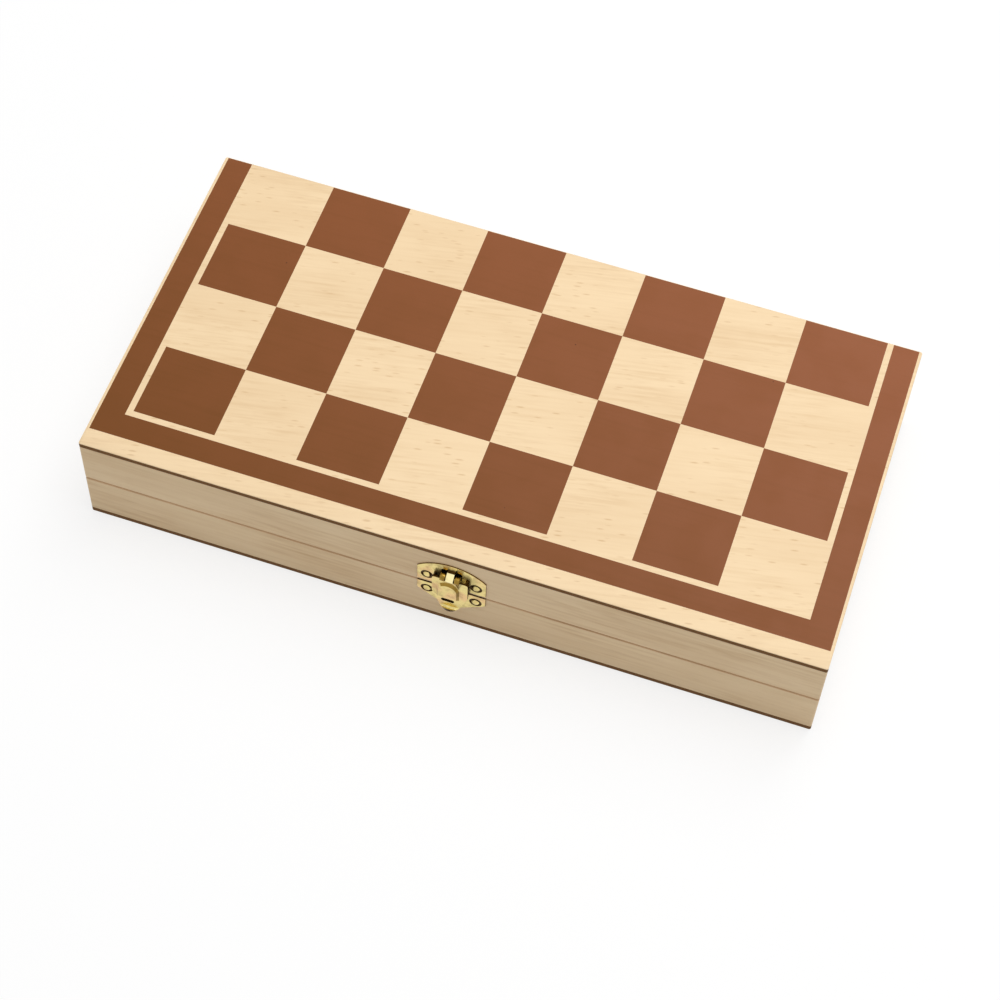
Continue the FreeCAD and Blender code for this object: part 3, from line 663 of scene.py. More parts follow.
    def dent(self, height: Socket, depth: float, strength: float = 1.0) -> None:
        """Give the surface a bump of a certain depth."""
        sockets = {"Height": height, "Distance": depth, "Strength": strength}
        bump = self.add("ShaderNodeBump", sockets)
        self.cover({"Normal": bump.outputs["Normal"]})


@dataclass(frozen=True)
class Finish(ABC):
    """A surface finish."""

    name: str

    @abstractmethod
    def dress(self, sheet: NodeSheet) -> None:
        """Lay out the finish's nodes."""

    def material(self) -> bpy.types.Material:
        """The finish's material, made when it is first asked for."""
        known = bpy.data.materials.get(self.name)
        if known:
            return known
        sheet = NodeSheet(self.name)
        self.dress(sheet)
        return sheet.material


@dataclass(frozen=True)
class Wood(Finish):
    """Varnished wood with soft streaks, pale blotches and short flecks that come in patches."""

    pale: Colour
    deep: Colour
    grain: Grain = Grain.ALONG_X
    streaks: float = 0.5
    flecks: float = 0.5
    clouds: float = 0.3
    roughness: float = 0.5
    relief: float = 0.02 * MM
    turn: float = 0.0
    streak_width: float = 1.6 * MM

    def dress(self, sheet: NodeSheet) -> None:
        """Lay out the wood's nodes."""
        grain, turn = self.grain, self.turn
        streak = sheet.patches(WOOD_STREAK, grain, turn, self.streak_width)
        blotch = sheet.patches(WOOD_BLOTCH, grain, turn, self.streak_width)
        cloud = sheet.patches(WOOD_CLOUD, grain, turn)
        patch = sheet.patches(WOOD_PATCH, grain, turn)
        fleck = sheet.spots(grain.stretch(8 * MM, 1.7 * MM), core=0.08, edge=0.28, share=0.7, turn=turn)
        fleck = sheet.product(fleck, sheet.ranged(patch, 0.0, 1.0, 0.35, 1.0))
        line = sheet.total([(streak, 0.6), (blotch, 0.4)])
        line = sheet.product(line, sheet.ranged(patch, 0.0, 1.0, 1.0, 0.35))
        shade = sheet.total([(line, self.streaks), (cloud, self.clouds), (fleck, self.flecks)])
        sheet.cover({"Base Color": sheet.blend(shade, self.pale, self.deep)})
        gloss = sheet.ranged(streak, 0.0, 1.0, self.roughness, self.roughness + 0.12)
        sheet.cover({"Roughness": gloss, "Specular IOR Level": 0.35})
        sheet.dent(sheet.total([(streak, -1.0), (fleck, -0.6)]), self.relief, strength=0.6)


@dataclass(frozen=True)
class Ink(Finish):
    """Brown print on veneer with painted sheen and shade, lighter towards the rear right and darker towards
    the front left, in which the wood under it only just shows.
    """

    rear_sheen_tone: Colour
    front_shade_tone: Colour
    speck_tone: Colour
    roughness: float = 0.4

    def dress(self, sheet: NodeSheet) -> None:
        """Lay out the print's nodes."""
        mottle, streak = sheet.patches(PRINT_MOTTLE), sheet.patches(PRINT_STREAK)
        speck = sheet.spots(even(13 * MM), core=0.012, edge=0.03, share=0.5)
        # painted sheen and shade: the print's colour runs evenly from its lit tone at the rear right to its
        # shaded tone at the front left, with the print's own mottle and streaks on top
        slope = sheet.slope((-0.5 / BOX.length, -0.5 / BOX.depth, 0))
        shade_and_mottle = sheet.total([(slope, 1.0), (mottle, 0.1), (streak, 0.08)])
        tone = sheet.blend(shade_and_mottle, self.rear_sheen_tone, self.front_shade_tone)
        sheet.cover({"Base Color": sheet.blend(speck, tone, self.speck_tone)})
        gloss = sheet.ranged(mottle, 0.0, 1.0, self.roughness, self.roughness + 0.06)
        sheet.cover({"Roughness": gloss, "Specular IOR Level": 0.15})
        sheet.dent(sheet.total([(streak, -0.6), (speck, -1.0)]), 0.012 * MM, strength=0.6)


@dataclass(frozen=True)
class PressedBoard(Finish):
    """Dark pressed fibre board, as on the cut edges of the panels, and near black as painted shade in the
    slot behind the latch.
    """

    tone: Colour
    deep_tone: Colour

    def dress(self, sheet: NodeSheet) -> None:
        """Lay out the board's nodes."""
        fibre = sheet.noise(Grain.ALONG_X.stretch(3 * MM, 0.4 * MM), 4, 0.65)
        grit = sheet.noise(even(0.5 * MM), 2)
        shade = sheet.ranged(sheet.total([(fibre, 0.7), (grit, 0.3)]), 0.3, 0.7)
        sheet.cover({"Base Color": sheet.blend(shade, self.tone, self.deep_tone)})
        gloss = sheet.ranged(grit, 0.2, 0.8, 0.55, 0.8)
        sheet.cover({"Roughness": gloss, "Specular IOR Level": 0.15})
        sheet.dent(fibre, 0.03 * MM, strength=0.7)


RED_BRASS = srgb(228, 178, 132)


@dataclass(frozen=True)
class Brass(Finish):
    """Plated brass sheet with a reddish tinge in places, with random clouding, and with painted shade from
    ambient occlusion in corners and gaps and under and between parts.
    """

    bright: Colour
    shade_and_cloud_tone: Colour
    roughness: float = 0.2
    tinge: float = 0.0
    clouding: float = 0.12

    def dress(self, sheet: NodeSheet) -> None:
        """Lay out the metal's nodes."""
        # painted shade: ambient occlusion, which also sees neighbouring pieces, darkens the colour towards
        # the shade tone in corners, gaps and under parts; the random clouding adds to it
        occlusion_shade = sheet.add("ShaderNodeAmbientOcclusion", {"Distance": 1.6 * MM}, samples=8)
        cloud = sheet.patches(BRASS_CLOUD)
        depth = sheet.ranged(occlusion_shade.outputs["AO"], 0.15, 0.5, 1.0, 0.0)
        shade = sheet.total([(depth, 0.35), (cloud, self.clouding)])
        reddish = sheet.ranged(sheet.noise(even(7 * MM), 1), 0.42, 0.66, 0.0, self.tinge)
        plating = sheet.blend(reddish, self.bright, RED_BRASS)
        sheet.cover({"Base Color": sheet.blend(shade, plating, self.shade_and_cloud_tone), "Metallic": 1.0})
        scratch = sheet.noise(Grain.ALONG_X.stretch(4 * MM, 0.15 * MM), 3)
        gloss = sheet.total([(cloud, 0.16), (scratch, 0.1)])
        gloss = sheet.ranged(gloss, 0.05, 0.2, self.roughness, self.roughness + 0.16)
        sheet.cover({"Roughness": gloss})
        sheet.dent(sheet.total([(cloud, 1.0), (scratch, 0.12)]), 0.02 * MM, strength=0.5)


@dataclass(frozen=True)
class Steel(Finish):
    """Rolled or plated grey metal."""

    tone: Colour
    deep_tone: Colour
    roughness: float = 0.35

    def dress(self, sheet: NodeSheet) -> None:
        """Lay out the metal's nodes."""
        brushed = sheet.noise(Grain.ALONG_X.stretch(30 * MM, 0.2 * MM), 4)
        tone = sheet.blend(brushed, self.tone, self.deep_tone)
        gloss = sheet.ranged(brushed, 0.3, 0.7, self.roughness, self.roughness + 0.15)
        sheet.cover({"Base Color": tone, "Metallic": 1.0, "Roughness": gloss})
        sheet.dent(brushed, 0.01 * MM, strength=0.5)


@dataclass(frozen=True)
class Soft(Finish):
    """Flocked foam or felt with a fine nap."""

    tone: Colour
    deep_tone: Colour
    sheen_tone: Colour
    nap: float = 0.35 * MM
    sheen: float = 0.35

    def dress(self, sheet: NodeSheet) -> None:
        """Lay out the nap's nodes."""
        fuzz = sheet.noise(even(self.nap), 3, 0.7)
        patch = sheet.noise(even(14 * MM), 2)
        shade = sheet.total([(fuzz, 0.75), (patch, 0.35)])
        sheet.cover({
            "Base Color": sheet.blend(shade, self.tone, self.deep_tone), "Roughness": 0.95,
            "Specular IOR Level": 0.15, "Sheen Weight": self.sheen, "Sheen Roughness": 0.5,
            "Sheen Tint": self.sheen_tone,
        })
        sheet.dent(fuzz, 0.12 * MM, strength=0.8)


@dataclass(frozen=True)
class PaleFloor(Finish):
    """White floor that takes a light shadow of the object."""

    reflected: float = 0.7
    shadowed: float = 0.26
    shown: float = 0.75

    def dress(self, sheet: NodeSheet) -> None:
        """Lay out the floor's nodes."""
        seen = see_as_background(sheet.tree)
        lit = sheet.product(seen, self.shown)
        glow = sheet.add("ShaderNodeEmission", {"Color": (1, 1, 1, 1), "Strength": lit})
        tone = sheet.ranged(seen, 0.0, 1.0, self.reflected, self.shadowed)
        matt = sheet.add("ShaderNodeBsdfDiffuse", {"Color": tone})
        both = sheet.add("ShaderNodeAddShader", {0: glow.outputs[0], 1: matt.outputs[0]})
        sheet.feed(sheet.tree.nodes["Material Output"], {"Surface": both.outputs[0]})
        sheet.tree.nodes.remove(sheet.surface)


def see_as_background(tree: bpy.types.NodeTree) -> Socket:
    """Make a value that is 1 for rays that show the background.

    Args:
        tree: The node tree that gets the nodes.

    Returns:
        The value.
    """
    path = tree.nodes.new("ShaderNodeLightPath")
    value = path.outputs["Is Camera Ray"]
    for name in ("Is Glossy Ray", "Is Transmission Ray"):
        both = tree.nodes.new("ShaderNodeMath")
        both.operation = "MAXIMUM"
        tree.links.new(value, both.inputs[0])
        tree.links.new(path.outputs[name], both.inputs[1])
        value = both.outputs[0]
    return value


BEECH_PALE = srgb(246, 218, 176)
BEECH_DEEP = srgb(206, 166, 116)
VENEER_TURN = math.radians(11)
VENEER = Wood(
    "beech_veneer", BEECH_PALE, BEECH_DEEP, streaks=0.3, flecks=0.48, clouds=0.14, turn=VENEER_TURN,
    streak_width=1.2 * MM,
)
LONG_BEECH = Wood("beech_long_wall", BEECH_PALE, BEECH_DEEP, flecks=0.1, clouds=0.2)
SIDE_BEECH = Wood("beech_side_wall", BEECH_PALE, BEECH_DEEP, Grain.ALONG_Y, flecks=0.1, clouds=0.2)
# Painted shade along the seam, on the outer rounding of the walls' rims.
SEAM_SHADE_BEECH = Wood(
    "seam_shade_beech_rim", srgb(226, 188, 144), srgb(180, 138, 98), streaks=0.7, flecks=0.2, clouds=0.4,
)
# The print's first tone is its colour painted lit with sheen at the rear right, the second its colour painted
# in shade at the front left.
PRINT = Ink("brown_print", srgb(150, 88, 53), srgb(120, 71, 30), srgb(86, 48, 26))
BOARD_EDGE = PressedBoard("pressed_board", srgb(138, 97, 54), srgb(100, 68, 36))
# Painted shade, near black, on the faces of the slot behind the latch's window.
SLOT_SHADE_BOARD = PressedBoard("slot_painted_shade", srgb(44, 28, 14), srgb(24, 14, 6))
LATCH_BRASS = Brass("plated_latch", srgb(230, 210, 138), srgb(62, 42, 14), 0.18, tinge=0.6, clouding=0.26)
# Painted shade, dark brown, on the rims of the latch's upper plate.
RIM_SHADE_BRASS = Brass("rim_shade_brass", srgb(112, 82, 34), srgb(46, 30, 10), 0.35)
# Painted shade and dark reflection, golden brown, on the tongue's rolls and ridge flanks.
SHADE_PAINTED_BRASS = Brass("deep_brass", srgb(152, 122, 54), srgb(50, 32, 10), 0.26, clouding=0.3)
# Painted highlight, near white, on the front of the latch's strap.
HIGHLIGHT_PAINTED_BRASS = Brass("highlight_painted_brass", srgb(254, 240, 182), srgb(170, 126, 56), 0.16, clouding=0.4)
SHADED_BRASS = Brass("shaded_brass", srgb(66, 44, 14), srgb(22, 14, 5), 0.45)
HINGE_BRASS = Brass("plated_hinge", srgb(206, 176, 104), srgb(110, 76, 30), 0.28)
SHEET_STEEL = Steel("rolled_steel", srgb(176, 178, 182), srgb(128, 130, 136))
MAGNET_PLATING = Steel("magnet_plating", srgb(205, 205, 208), srgb(160, 160, 166), 0.2)
TRAY_FOAM = Soft("black_foam", srgb(40, 40, 42), srgb(22, 22, 24), srgb(120, 120, 126))
GREEN_FELT = Soft(
    "green_felt", srgb(38, 92, 58), srgb(20, 58, 36), srgb(150, 190, 160), nap=0.25 * MM, sheen=0.5,
)
LIGHT_MEN = Wood(
    "light_turned_wood", srgb(232, 200, 148), srgb(190, 142, 88), Grain.ALONG_Y, streaks=0.45, flecks=0.35,
    roughness=0.36,
)
DARK_MEN = Wood(
    "dark_turned_wood", srgb(98, 56, 34), srgb(54, 28, 16), Grain.ALONG_Y, streaks=0.6, flecks=0.3,
    clouds=0.35, roughness=0.34,
)


def keep(
    mesh: BMesh, name: str, body: str, finishes: list[Finish], nodes: list[str],
) -> bpy.types.Object:
    """Keep a finished mesh as a piece of the object.

    Args:
        mesh: The mesh, which is freed.
        name: Name of the piece.
        body: Body that it rides on.
        finishes: Finishes by material index.
        nodes: CAD nodes that it stands for.

    Returns:
        The piece.
    """
    bmesh.ops.recalc_face_normals(mesh, faces=mesh.faces)
    data = stored(mesh, name)
    for finish in finishes:
        data.materials.append(finish.material())
    data.shade_smooth()
    data.set_sharp_from_angle(angle=SMOOTH_ANGLE)
    piece = added(name, data)
    weighted = piece.modifiers.new("even_shading", "WEIGHTED_NORMAL")
    weighted.keep_sharp = True
    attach(piece, body)
    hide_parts(*nodes)
    LOG.info("%s: %d faces, on %s", name, len(data.polygons), body)
    return piece


class SubAssembly(ABC):
    """A group of pieces that are built and dressed together."""

    @abstractmethod
    def build(self) -> None:
        """Build and dress the pieces."""


class PanelFace(IntEnum):
    """Which of a board panel's finishes a face has."""

    VENEERED = 0
    INKED = 1
    CUT = 2


@dataclass
class BoardPanel(SubAssembly):
    """Printed board panel of one half, drawn with its printed face down."""

    half: Half
    square_length: float = 32.8 * MM
    square_depth: float = 31.93 * MM
    columns: int = 8
    rows: int = 4
    line: float = 2.45 * MM
    band: float = 10.15 * MM
    face_edge: float = 0.3 * MM
    back_edge: float = 0.12 * MM

    @property
    def field_side(self) -> float:
        """Half the length of the squares' field."""
        return self.columns * self.square_length / 2

    @property
    def field_front(self) -> float:
        """Front edge of the squares' field, which starts at the rear edge of the panel."""
        return BOX.rear - self.rows * self.square_depth

    def blank(self) -> BMesh:
        """Cut the panel with rounded corners and eased edges."""
        mesh = bmesh.new()
        size = Matrix.Diagonal((BOX.side, BOX.rear, 1, 1))
        bmesh.ops.create_grid(mesh, x_segments=1, y_segments=1, size=1, matrix=size)
        bmesh.ops.bevel(
            mesh, geom=mesh.verts[:], offset=BOX.corner, offset_type="OFFSET", affect="VERTICES",
            segments=6, profile=0.5, material=-1,
        )
        thicken(mesh, Vector((0, 0, BOX.panel)))
        for height, width in ((0, self.face_edge), (BOX.panel, self.back_edge)):
            ease(mesh, edges_at(mesh, Axis.Z, height), width, segments=2)
        bmesh.ops.recalc_face_normals(mesh, faces=mesh.faces)
        return mesh

    def score(self, mesh: BMesh) -> None:
        """Score the printed face along the edges of the pattern."""
        edge, outer = self.line, self.line + self.band
        across = [-self.field_side + i * self.square_length for i in range(self.columns + 1)]
        across += [sign * (self.field_side + reach) for sign in (-1, 1) for reach in (edge, outer)]
        along = [BOX.rear - j * self.square_depth for j in range(1, self.rows + 1)]
        along += [self.field_front - reach for reach in (edge, outer)]
        cuts = [((x, 0, 0), (1, 0, 0)) for x in across] + [((0, y, 0), (0, 1, 0)) for y in along]
        for place, normal in cuts:
            faces = self.printed(mesh)
            parts = {part for face in faces for part in (face, *face.edges, *face.verts)}
            bmesh.ops.bisect_plane(mesh, geom=list(parts), dist=WELD, plane_co=place, plane_no=normal)

    def printed(self, mesh: BMesh) -> list[bmesh.types.BMFace]:
        """Faces of the printed side."""
        return [face for face in mesh.faces if all(abs(v.co.z) < WELD for v in face.verts)]

    def inked(self, x: float, y: float) -> bool:
        """Tell whether a place on the printed face is brown.

        Args:
            x: Place along the box.
            y: Place from front to rear.

        Returns:
            True on a dark square or the band.
        """
        beyond = max(abs(x) - self.field_side, self.field_front - y)
        if beyond > 0:
            return self.line < beyond < self.line + self.band
        column = int((x + self.field_side) / self.square_length)
        row = int((BOX.rear - y) / self.square_depth)
        return (column + row) % 2 == 0

    def build(self) -> None:
        """Build and dress the panel."""
        mesh = self.blank()
        for face in mesh.faces:
            veneered = all(vert.co.z < self.face_edge + WELD for vert in face.verts)
            face.material_index = PanelFace.VENEERED if veneered else PanelFace.CUT
        self.score(mesh)
        for face in self.printed(mesh):
            middle = face.calc_center_median()
            inked = self.inked(middle.x, middle.y)
            face.material_index = PanelFace.INKED if inked else PanelFace.VENEERED
        self.half.lay(mesh)
        name = f"{self.half.value}_printed_board"
        keep(mesh, name, self.half.body, [VENEER, PRINT, BOARD_EDGE],
             [f"{self.half.value}_board_panel"])


@dataclass
class HingeSizes:
    """Sizes of a hinge, which its seats in the rear walls share."""

    spacing: float = 184 * MM
    length: float = 22 * MM
    overhang: float = 0.15 * MM
    middle_knuckle: float = 8 * MM
    knuckle: float = 1.6 * MM
    pin: float = 0.8 * MM
    bore: float = 0.85 * MM
    leaf_width: float = 5.6 * MM
    leaf: float = 0.7 * MM
    screw_spacing: float = 13 * MM
    screw_inset: float = 1.9 * MM
    screw_head: float = 1.4 * MM
    screw_shank: float = 0.6 * MM
    screw_length: float = 8 * MM

    @property
    def axis_y(self) -> float:
        """Place of the pin's axis."""
        return BOX.rear + self.overhang

    @property
    def clear(self) -> float:
        """Radius of the room round the knuckles."""
        return self.knuckle + BOX.fit

    @property
    def screw_y(self) -> float:
        """Place of the screws."""
        return self.axis_y - self.leaf_width + self.screw_inset


@dataclass
class PivotSizes:
    """Sizes round the latch's pivot, which the slot in the upper front wall shares."""

    offset: float = 3.2 * MM
    seat: float = 1.2 * MM
    rise: float = 9.3 * MM
    stand: float = 1.9 * MM
    roll: float = 1.7 * MM
    roll_width: float = 2 * MM
    strap: float = 3 * MM
    window_rise: float = 1.3 * MM
    slot_depth: float = 2.5 * MM

    @property
    def roll_start(self) -> float:
        """Inner end of the tongue's rolls."""
        return self.strap / 2 + BOX.fit

    @property
    def roll_end(self) -> float:
        """Outer end of the tongue's rolls."""
        return self.roll_start + self.roll_width

    @property
    def window(self) -> tuple[float, float, float]:
        """Half the width of the window and its lowest and highest edge."""
        low, high = self.rise - self.roll - BOX.fit, self.rise + self.roll + self.window_rise
        return (self.roll_end + BOX.fit, low, high)


HINGE = HingeSizes()
PIVOT = PivotSizes()


@dataclass
class CaseWalls(SubAssembly):
    """The four beech walls of one half."""

    half: Half
    rim_ease: float = 0.55 * MM
    joint_ease: float = 0.12 * MM

    def long_wall(self, sign: int) -> BMesh:
        """Make a wall of the whole length with rounded outer corners.

        Args:
            sign: -1 for the front, 1 for the rear.

        Returns:
            The mesh.
        """
        inner, outer, start = BOX.rear - BOX.wall, BOX.rear, BOX.side - BOX.corner
        corners = [
            (-BOX.side, -inner, 0), (-BOX.side, -outer + BOX.corner, QUARTER_BULGE), (-start, -outer, 0),
            (start, -outer, QUARTER_BULGE), (BOX.side, -outer + BOX.corner, 0), (BOX.side, -inner, 0),
        ]
        points = [Vector((-sign * p.x, -sign * p.y)) for p in rounded(corners, steps=6)]
        return self.eased(plate(points, Plane.PLAN, BOX.panel, BOX.rim - BOX.panel))

    def side_wall(self, sign: int) -> BMesh:
        """Make a wall between the front and rear walls.

        Args:
            sign: -1 for the left, 1 for the right.

        Returns:
            The mesh.
        """
        across = sorted((sign * BOX.side, sign * (BOX.side - BOX.wall)))
        run = BOX.rear - BOX.wall
        return self.eased(slab((across[0], -run, BOX.panel), (across[1], run, BOX.rim)))

    def eased(self, mesh: BMesh) -> BMesh:
        """Round a wall's rim and its joint with the panel, and paint the outer rounding of the rim darker as
        shade along the seam.
        """
        for height, width in ((BOX.rim, self.rim_ease), (BOX.panel, self.joint_ease)):
            ease(mesh, edges_at(mesh, Axis.Z, height), width)
        # painted seam shade: the outer rounding of the rim takes the darker rim finish
        for face in mesh.faces:
            middle = face.calc_center_median()
            outer = max(abs(middle.x) - BOX.side, abs(middle.y) - BOX.rear) > -self.rim_ease
            if outer and BOX.rim - self.rim_ease < middle.z < BOX.rim - WELD:
                face.material_index = Tone.EDGE
        return mesh

    def seated(self, wall: BMesh) -> BMesh:
        """Cut the seats of both hinges into the rear wall."""
        room, over = HINGE.length / 2 + BOX.fit, BOX.wall
        for side in Side:
            middle = side.value * HINGE.spacing / 2
            recess = slab(
                (middle - room, HINGE.axis_y - HINGE.leaf_width - BOX.fit, BOX.rim - HINGE.leaf),
                (middle + room, BOX.rear + over, BOX.rim + over),
            )
            wall = combined(wall, recess, Join.CUT)
            groove = rod((middle - room, HINGE.axis_y, BOX.seam), "X", 2 * room, HINGE.clear)
            wall = combined(wall, groove, Join.CUT)
        return wall

    def slotted(self, wall: BMesh) -> BMesh:
        """Cut the slot behind the latch's window into the front wall of the upper half, with near black
        painted shade on its faces.
        """
        if self.half is Half.LOWER:
            return wall
        side, low, high = PIVOT.window
        tool = slab(
            (-PIVOT.offset - side, -BOX.rear - BOX.wall, BOX.seam - PIVOT.seat - high),
            (-PIVOT.offset + side, -BOX.rear + PIVOT.slot_depth, BOX.seam - PIVOT.seat - low),
        )
        # painted shade: the slot's faces take the near black slot finish
        return combined(wall, painted(tool, Tone.PAINTED_SHADE), Join.CUT)

    def build(self) -> None:
        """Build and dress the walls."""
        walls = {"front": self.slotted(self.long_wall(-1)), "rear": self.seated(self.long_wall(1))}
        sides = (1, -1) if self.half is Half.UPPER else (-1, 1)
        walls.update(left=self.side_wall(sides[0]), right=self.side_wall(sides[1]))
        for where, mesh in walls.items():
            finishes = [LONG_BEECH if where in ("front", "rear") else SIDE_BEECH, SEAM_SHADE_BEECH, SLOT_SHADE_BOARD]
            node = f"{self.half.value}_{where}_wall"
            keep(self.half.lay(mesh), f"{node}_beech", self.half.body, finishes, [node])


@dataclass
class Chessman(ABC):
    """A turned chessman, as it stands on its base."""

    name: str
    radius: float
    height: float
    columns: tuple[float, ...]
    profile: list[Corner]
    magnet: float = 3.2 * MM
    magnet_depth: float = 2 * MM
    faces_rear: bool = True

    def sized(self, corners: list[Corner]) -> list[Corner]:
        """Scale shares of the radius and the height."""
        return [(across * self.radius, up * self.height, bulge) for across, up, bulge in corners]

    def blank(self) -> BMesh:
        """Turn the man, with a bore for its magnet."""
        bore = [(0, self.magnet_depth, 0), (self.magnet, self.magnet_depth, 0), (self.magnet, 0, 0)]
        return turned(rounded(bore + self.sized(self.profile), closed=False, steps=9))

    def flat(self, corners: list[Corner], depth: float) -> BMesh:
        """Make a flat shape in the man's middle plane from its outline in shares and its thickness."""
        return plate(rounded(self.sized(corners)), Plane.FRONT, -depth / 2, depth)

    def carved(self, mesh: BMesh) -> BMesh:
        """Add what the lathe can't make."""
        return mesh

    def form(self) -> BMesh:
        """Make the whole man."""
        return self.carved(self.blank())


class King(Chessman):
    """King with a cross."""

    def carved(self, mesh: BMesh) -> BMesh:
        """Set the cross on the crown."""
        half = [
            (0.13, 0.85, 0), (0.1, 0.91, 0), (0.3, 0.9, 0), (0.3, 0.955, 0), (0.1, 0.945, 0), (0.14, 1, 0),
        ]
        cross = soften(self.flat(mirrored(half), 0.26 * self.radius), 0.25 * MM, segments=2)
        return combined(mesh, cross, Join.ADD)


class Queen(Chessman):
    """Queen with a notched crown."""

    def carved(self, mesh: BMesh) -> BMesh:
        """Cut nine notches round the crown."""
        notches = 9
        outline = self.sized([(0.13, 0.9, 0), (-0.13, 0.9, 0), (0, 0.845, 0)])
        tools = []
        for number in range(notches):
            tool = plate(rounded(outline), Plane.FRONT, 0.46 * self.radius, 0.4 * self.radius)
            tools.append(spun(tool, FULL_TURN * number / notches, "Z"))
        return combined(mesh, together(tools), Join.CUT)


class Bishop(Chessman):
    """Bishop with a slanting cut."""

    def carved(self, mesh: BMesh) -> BMesh:
        """Cut the slot."""
        slot = [(0.08, 0.8, 0), (0.16, 0.78, 0), (0.9, 0.9, 0), (0.82, 0.92, 0)]
        return combined(mesh, self.flat(slot, 2.2 * self.radius), Join.CUT)


class Rook(Chessman):
    """Rook with a slotted top."""

    def carved(self, mesh: BMesh) -> BMesh:
        """Cut the top across in both directions."""
        half, low, reach = 0.14 * self.radius, 0.88 * self.height, 1.1 * self.radius
        top = 1.1 * self.height
        for size_x, size_y in ((half, reach), (reach, half)):
            mesh = combined(mesh, slab((-size_x, -size_y, low), (size_x, size_y, top)), Join.CUT)
        return mesh


class Knight(Chessman):
    """Knight with a carved horse's head."""

    def carved(self, mesh: BMesh) -> BMesh:
        """Set the head on the turned base."""
        outline = [
            (0.6, 0.2, -0.1), (0.28, 0.5, 0.1), (0.42, 0.57, -0.05), (0.78, 0.58, 0.2), (0.85, 0.69, -0.05),
            (0.5, 0.87, 0), (0.3, 0.99, 0), (0.12, 0.94, 0), (-0.08, 1, 0), (-0.16, 0.91, 0.12),
            (-0.68, 0.6, 0.08), (-0.62, 0.2, 0),
        ]
        depth = 0.8 * self.radius
        head = plate(rounded(self.sized(outline), steps=6), Plane.FRONT, -depth / 2, depth)
        head = soften(head, 0.16 * self.radius, segments=4, least=60)
        for tool in self.cuts(depth):
            head = combined(head, tool, Join.CUT)
        return combined(mesh, head, Join.ADD)

    def cuts(self, depth: float) -> list[BMesh]:
        """Make the tools for the mouth, the eyes, the nostrils and the mane."""
        through, grooves = 1.2 * depth, 5
        eye, nostril = (0.36, 0.8, 0.5 * MM, 0.1, 16), (0.7, 0.69, 1.0 * MM, 0.06, 12)
        tools = [self.flat([(0.62, 0.635, 0), (0.95, 0.625, 0), (0.95, 0.645, 0)], through)]
        for side in Side:
            for across, up, bite, size, segments in (eye, nostril):
                start = (across * self.radius, side.value * depth / 2, up * self.height)
                tools.append(rod(start, "Y", -side.value * bite, size * self.radius, segments))
        for number in range(grooves):
            across, up = -0.22 - 0.095 * number, 0.88 - 0.075 * number
            outer, inner = across - 0.3, across + 0.05
            groove = [(outer, up + 0.1, 0), (inner, up - 0.055, 0), (outer, up + 0.06, 0)]
            tools.append(self.flat(groove, through))
        return tools


class Pawn(Chessman):
    """Pawn with a round head."""


def make_men() -> list[Chessman]:
    """List the kinds of chessmen with their sizes and turned outlines.

    Returns:
        One of each kind.
    """
    radius, height = 9.2 * MM, 52 * MM
    eight = tuple(column - 3.5 for column in range(8))
    king = King("king", radius, height, (0.5,), [
        (1, 0, 0), (1, 0.05, 0.1), (0.84, 0.11, 0), (0.78, 0.13, -0.12), (0.38, 0.5, 0), (0.68, 0.53, 0.35),
        (0.62, 0.57, 0), (0.4, 0.59, -0.08), (0.62, 0.8, 0.15), (0.54, 0.83, 0.12), (0, 0.88, 0),
    ])
    queen = Queen("queen", 0.96 * radius, 0.88 * height, (-0.5,), [
        (1, 0, 0), (1, 0.055, 0.1), (0.84, 0.12, 0), (0.78, 0.145, -0.12), (0.37, 0.54, 0),
        (0.66, 0.57, 0.35), (0.6, 0.61, 0), (0.38, 0.63, -0.1), (0.68, 0.88, 0), (0.5, 0.88, 0),
        (0.4, 0.855, 0.15), (0.17, 0.915, 0.343), (0, 1, 0),
    ])
    bishops = Bishop("bishops", 0.89 * radius, 0.77 * height, (-1.5, 1.5), [
        (1, 0, 0), (1, 0.06, 0.1), (0.84, 0.13, 0), (0.78, 0.155, -0.12), (0.36, 0.54, 0), (0.66, 0.57, 0.35),
        (0.6, 0.61, 0), (0.36, 0.64, 0.27), (0.14, 0.925, 0.343), (0, 1, 0),
    ])
    knights = Knight("knights", 0.89 * radius, 0.69 * height, (-2.5, 2.5), [
        (1, 0, 0), (1, 0.065, 0.1), (0.86, 0.14, 0), (0.8, 0.17, 0.12), (0.66, 0.22, 0), (0, 0.22, 0),
    ])
    rooks = Rook("rooks", 0.87 * radius, 0.6 * height, (-3.5, 3.5), [
        (1, 0, 0), (1, 0.075, 0.1), (0.86, 0.16, 0), (0.8, 0.19, -0.1), (0.52, 0.62, 0), (0.76, 0.7, 0),
        (0.76, 1, 0), (0.52, 1, 0), (0.52, 0.88, 0), (0, 0.88, 0),
    ])
    pawns = Pawn("pawns", 0.78 * radius, 0.52 * height, eight, [
        (1, 0, 0), (1, 0.08, 0.1), (0.8, 0.17, 0), (0.74, 0.21, -0.12), (0.36, 0.55, 0), (0.66, 0.59, 0.4),
        (0.6, 0.64, 0), (0.4, 0.67, 0.363), (0, 1, 0),
    ], faces_rear=False)
    return [king, queen, bishops, knights, rooks, pawns]


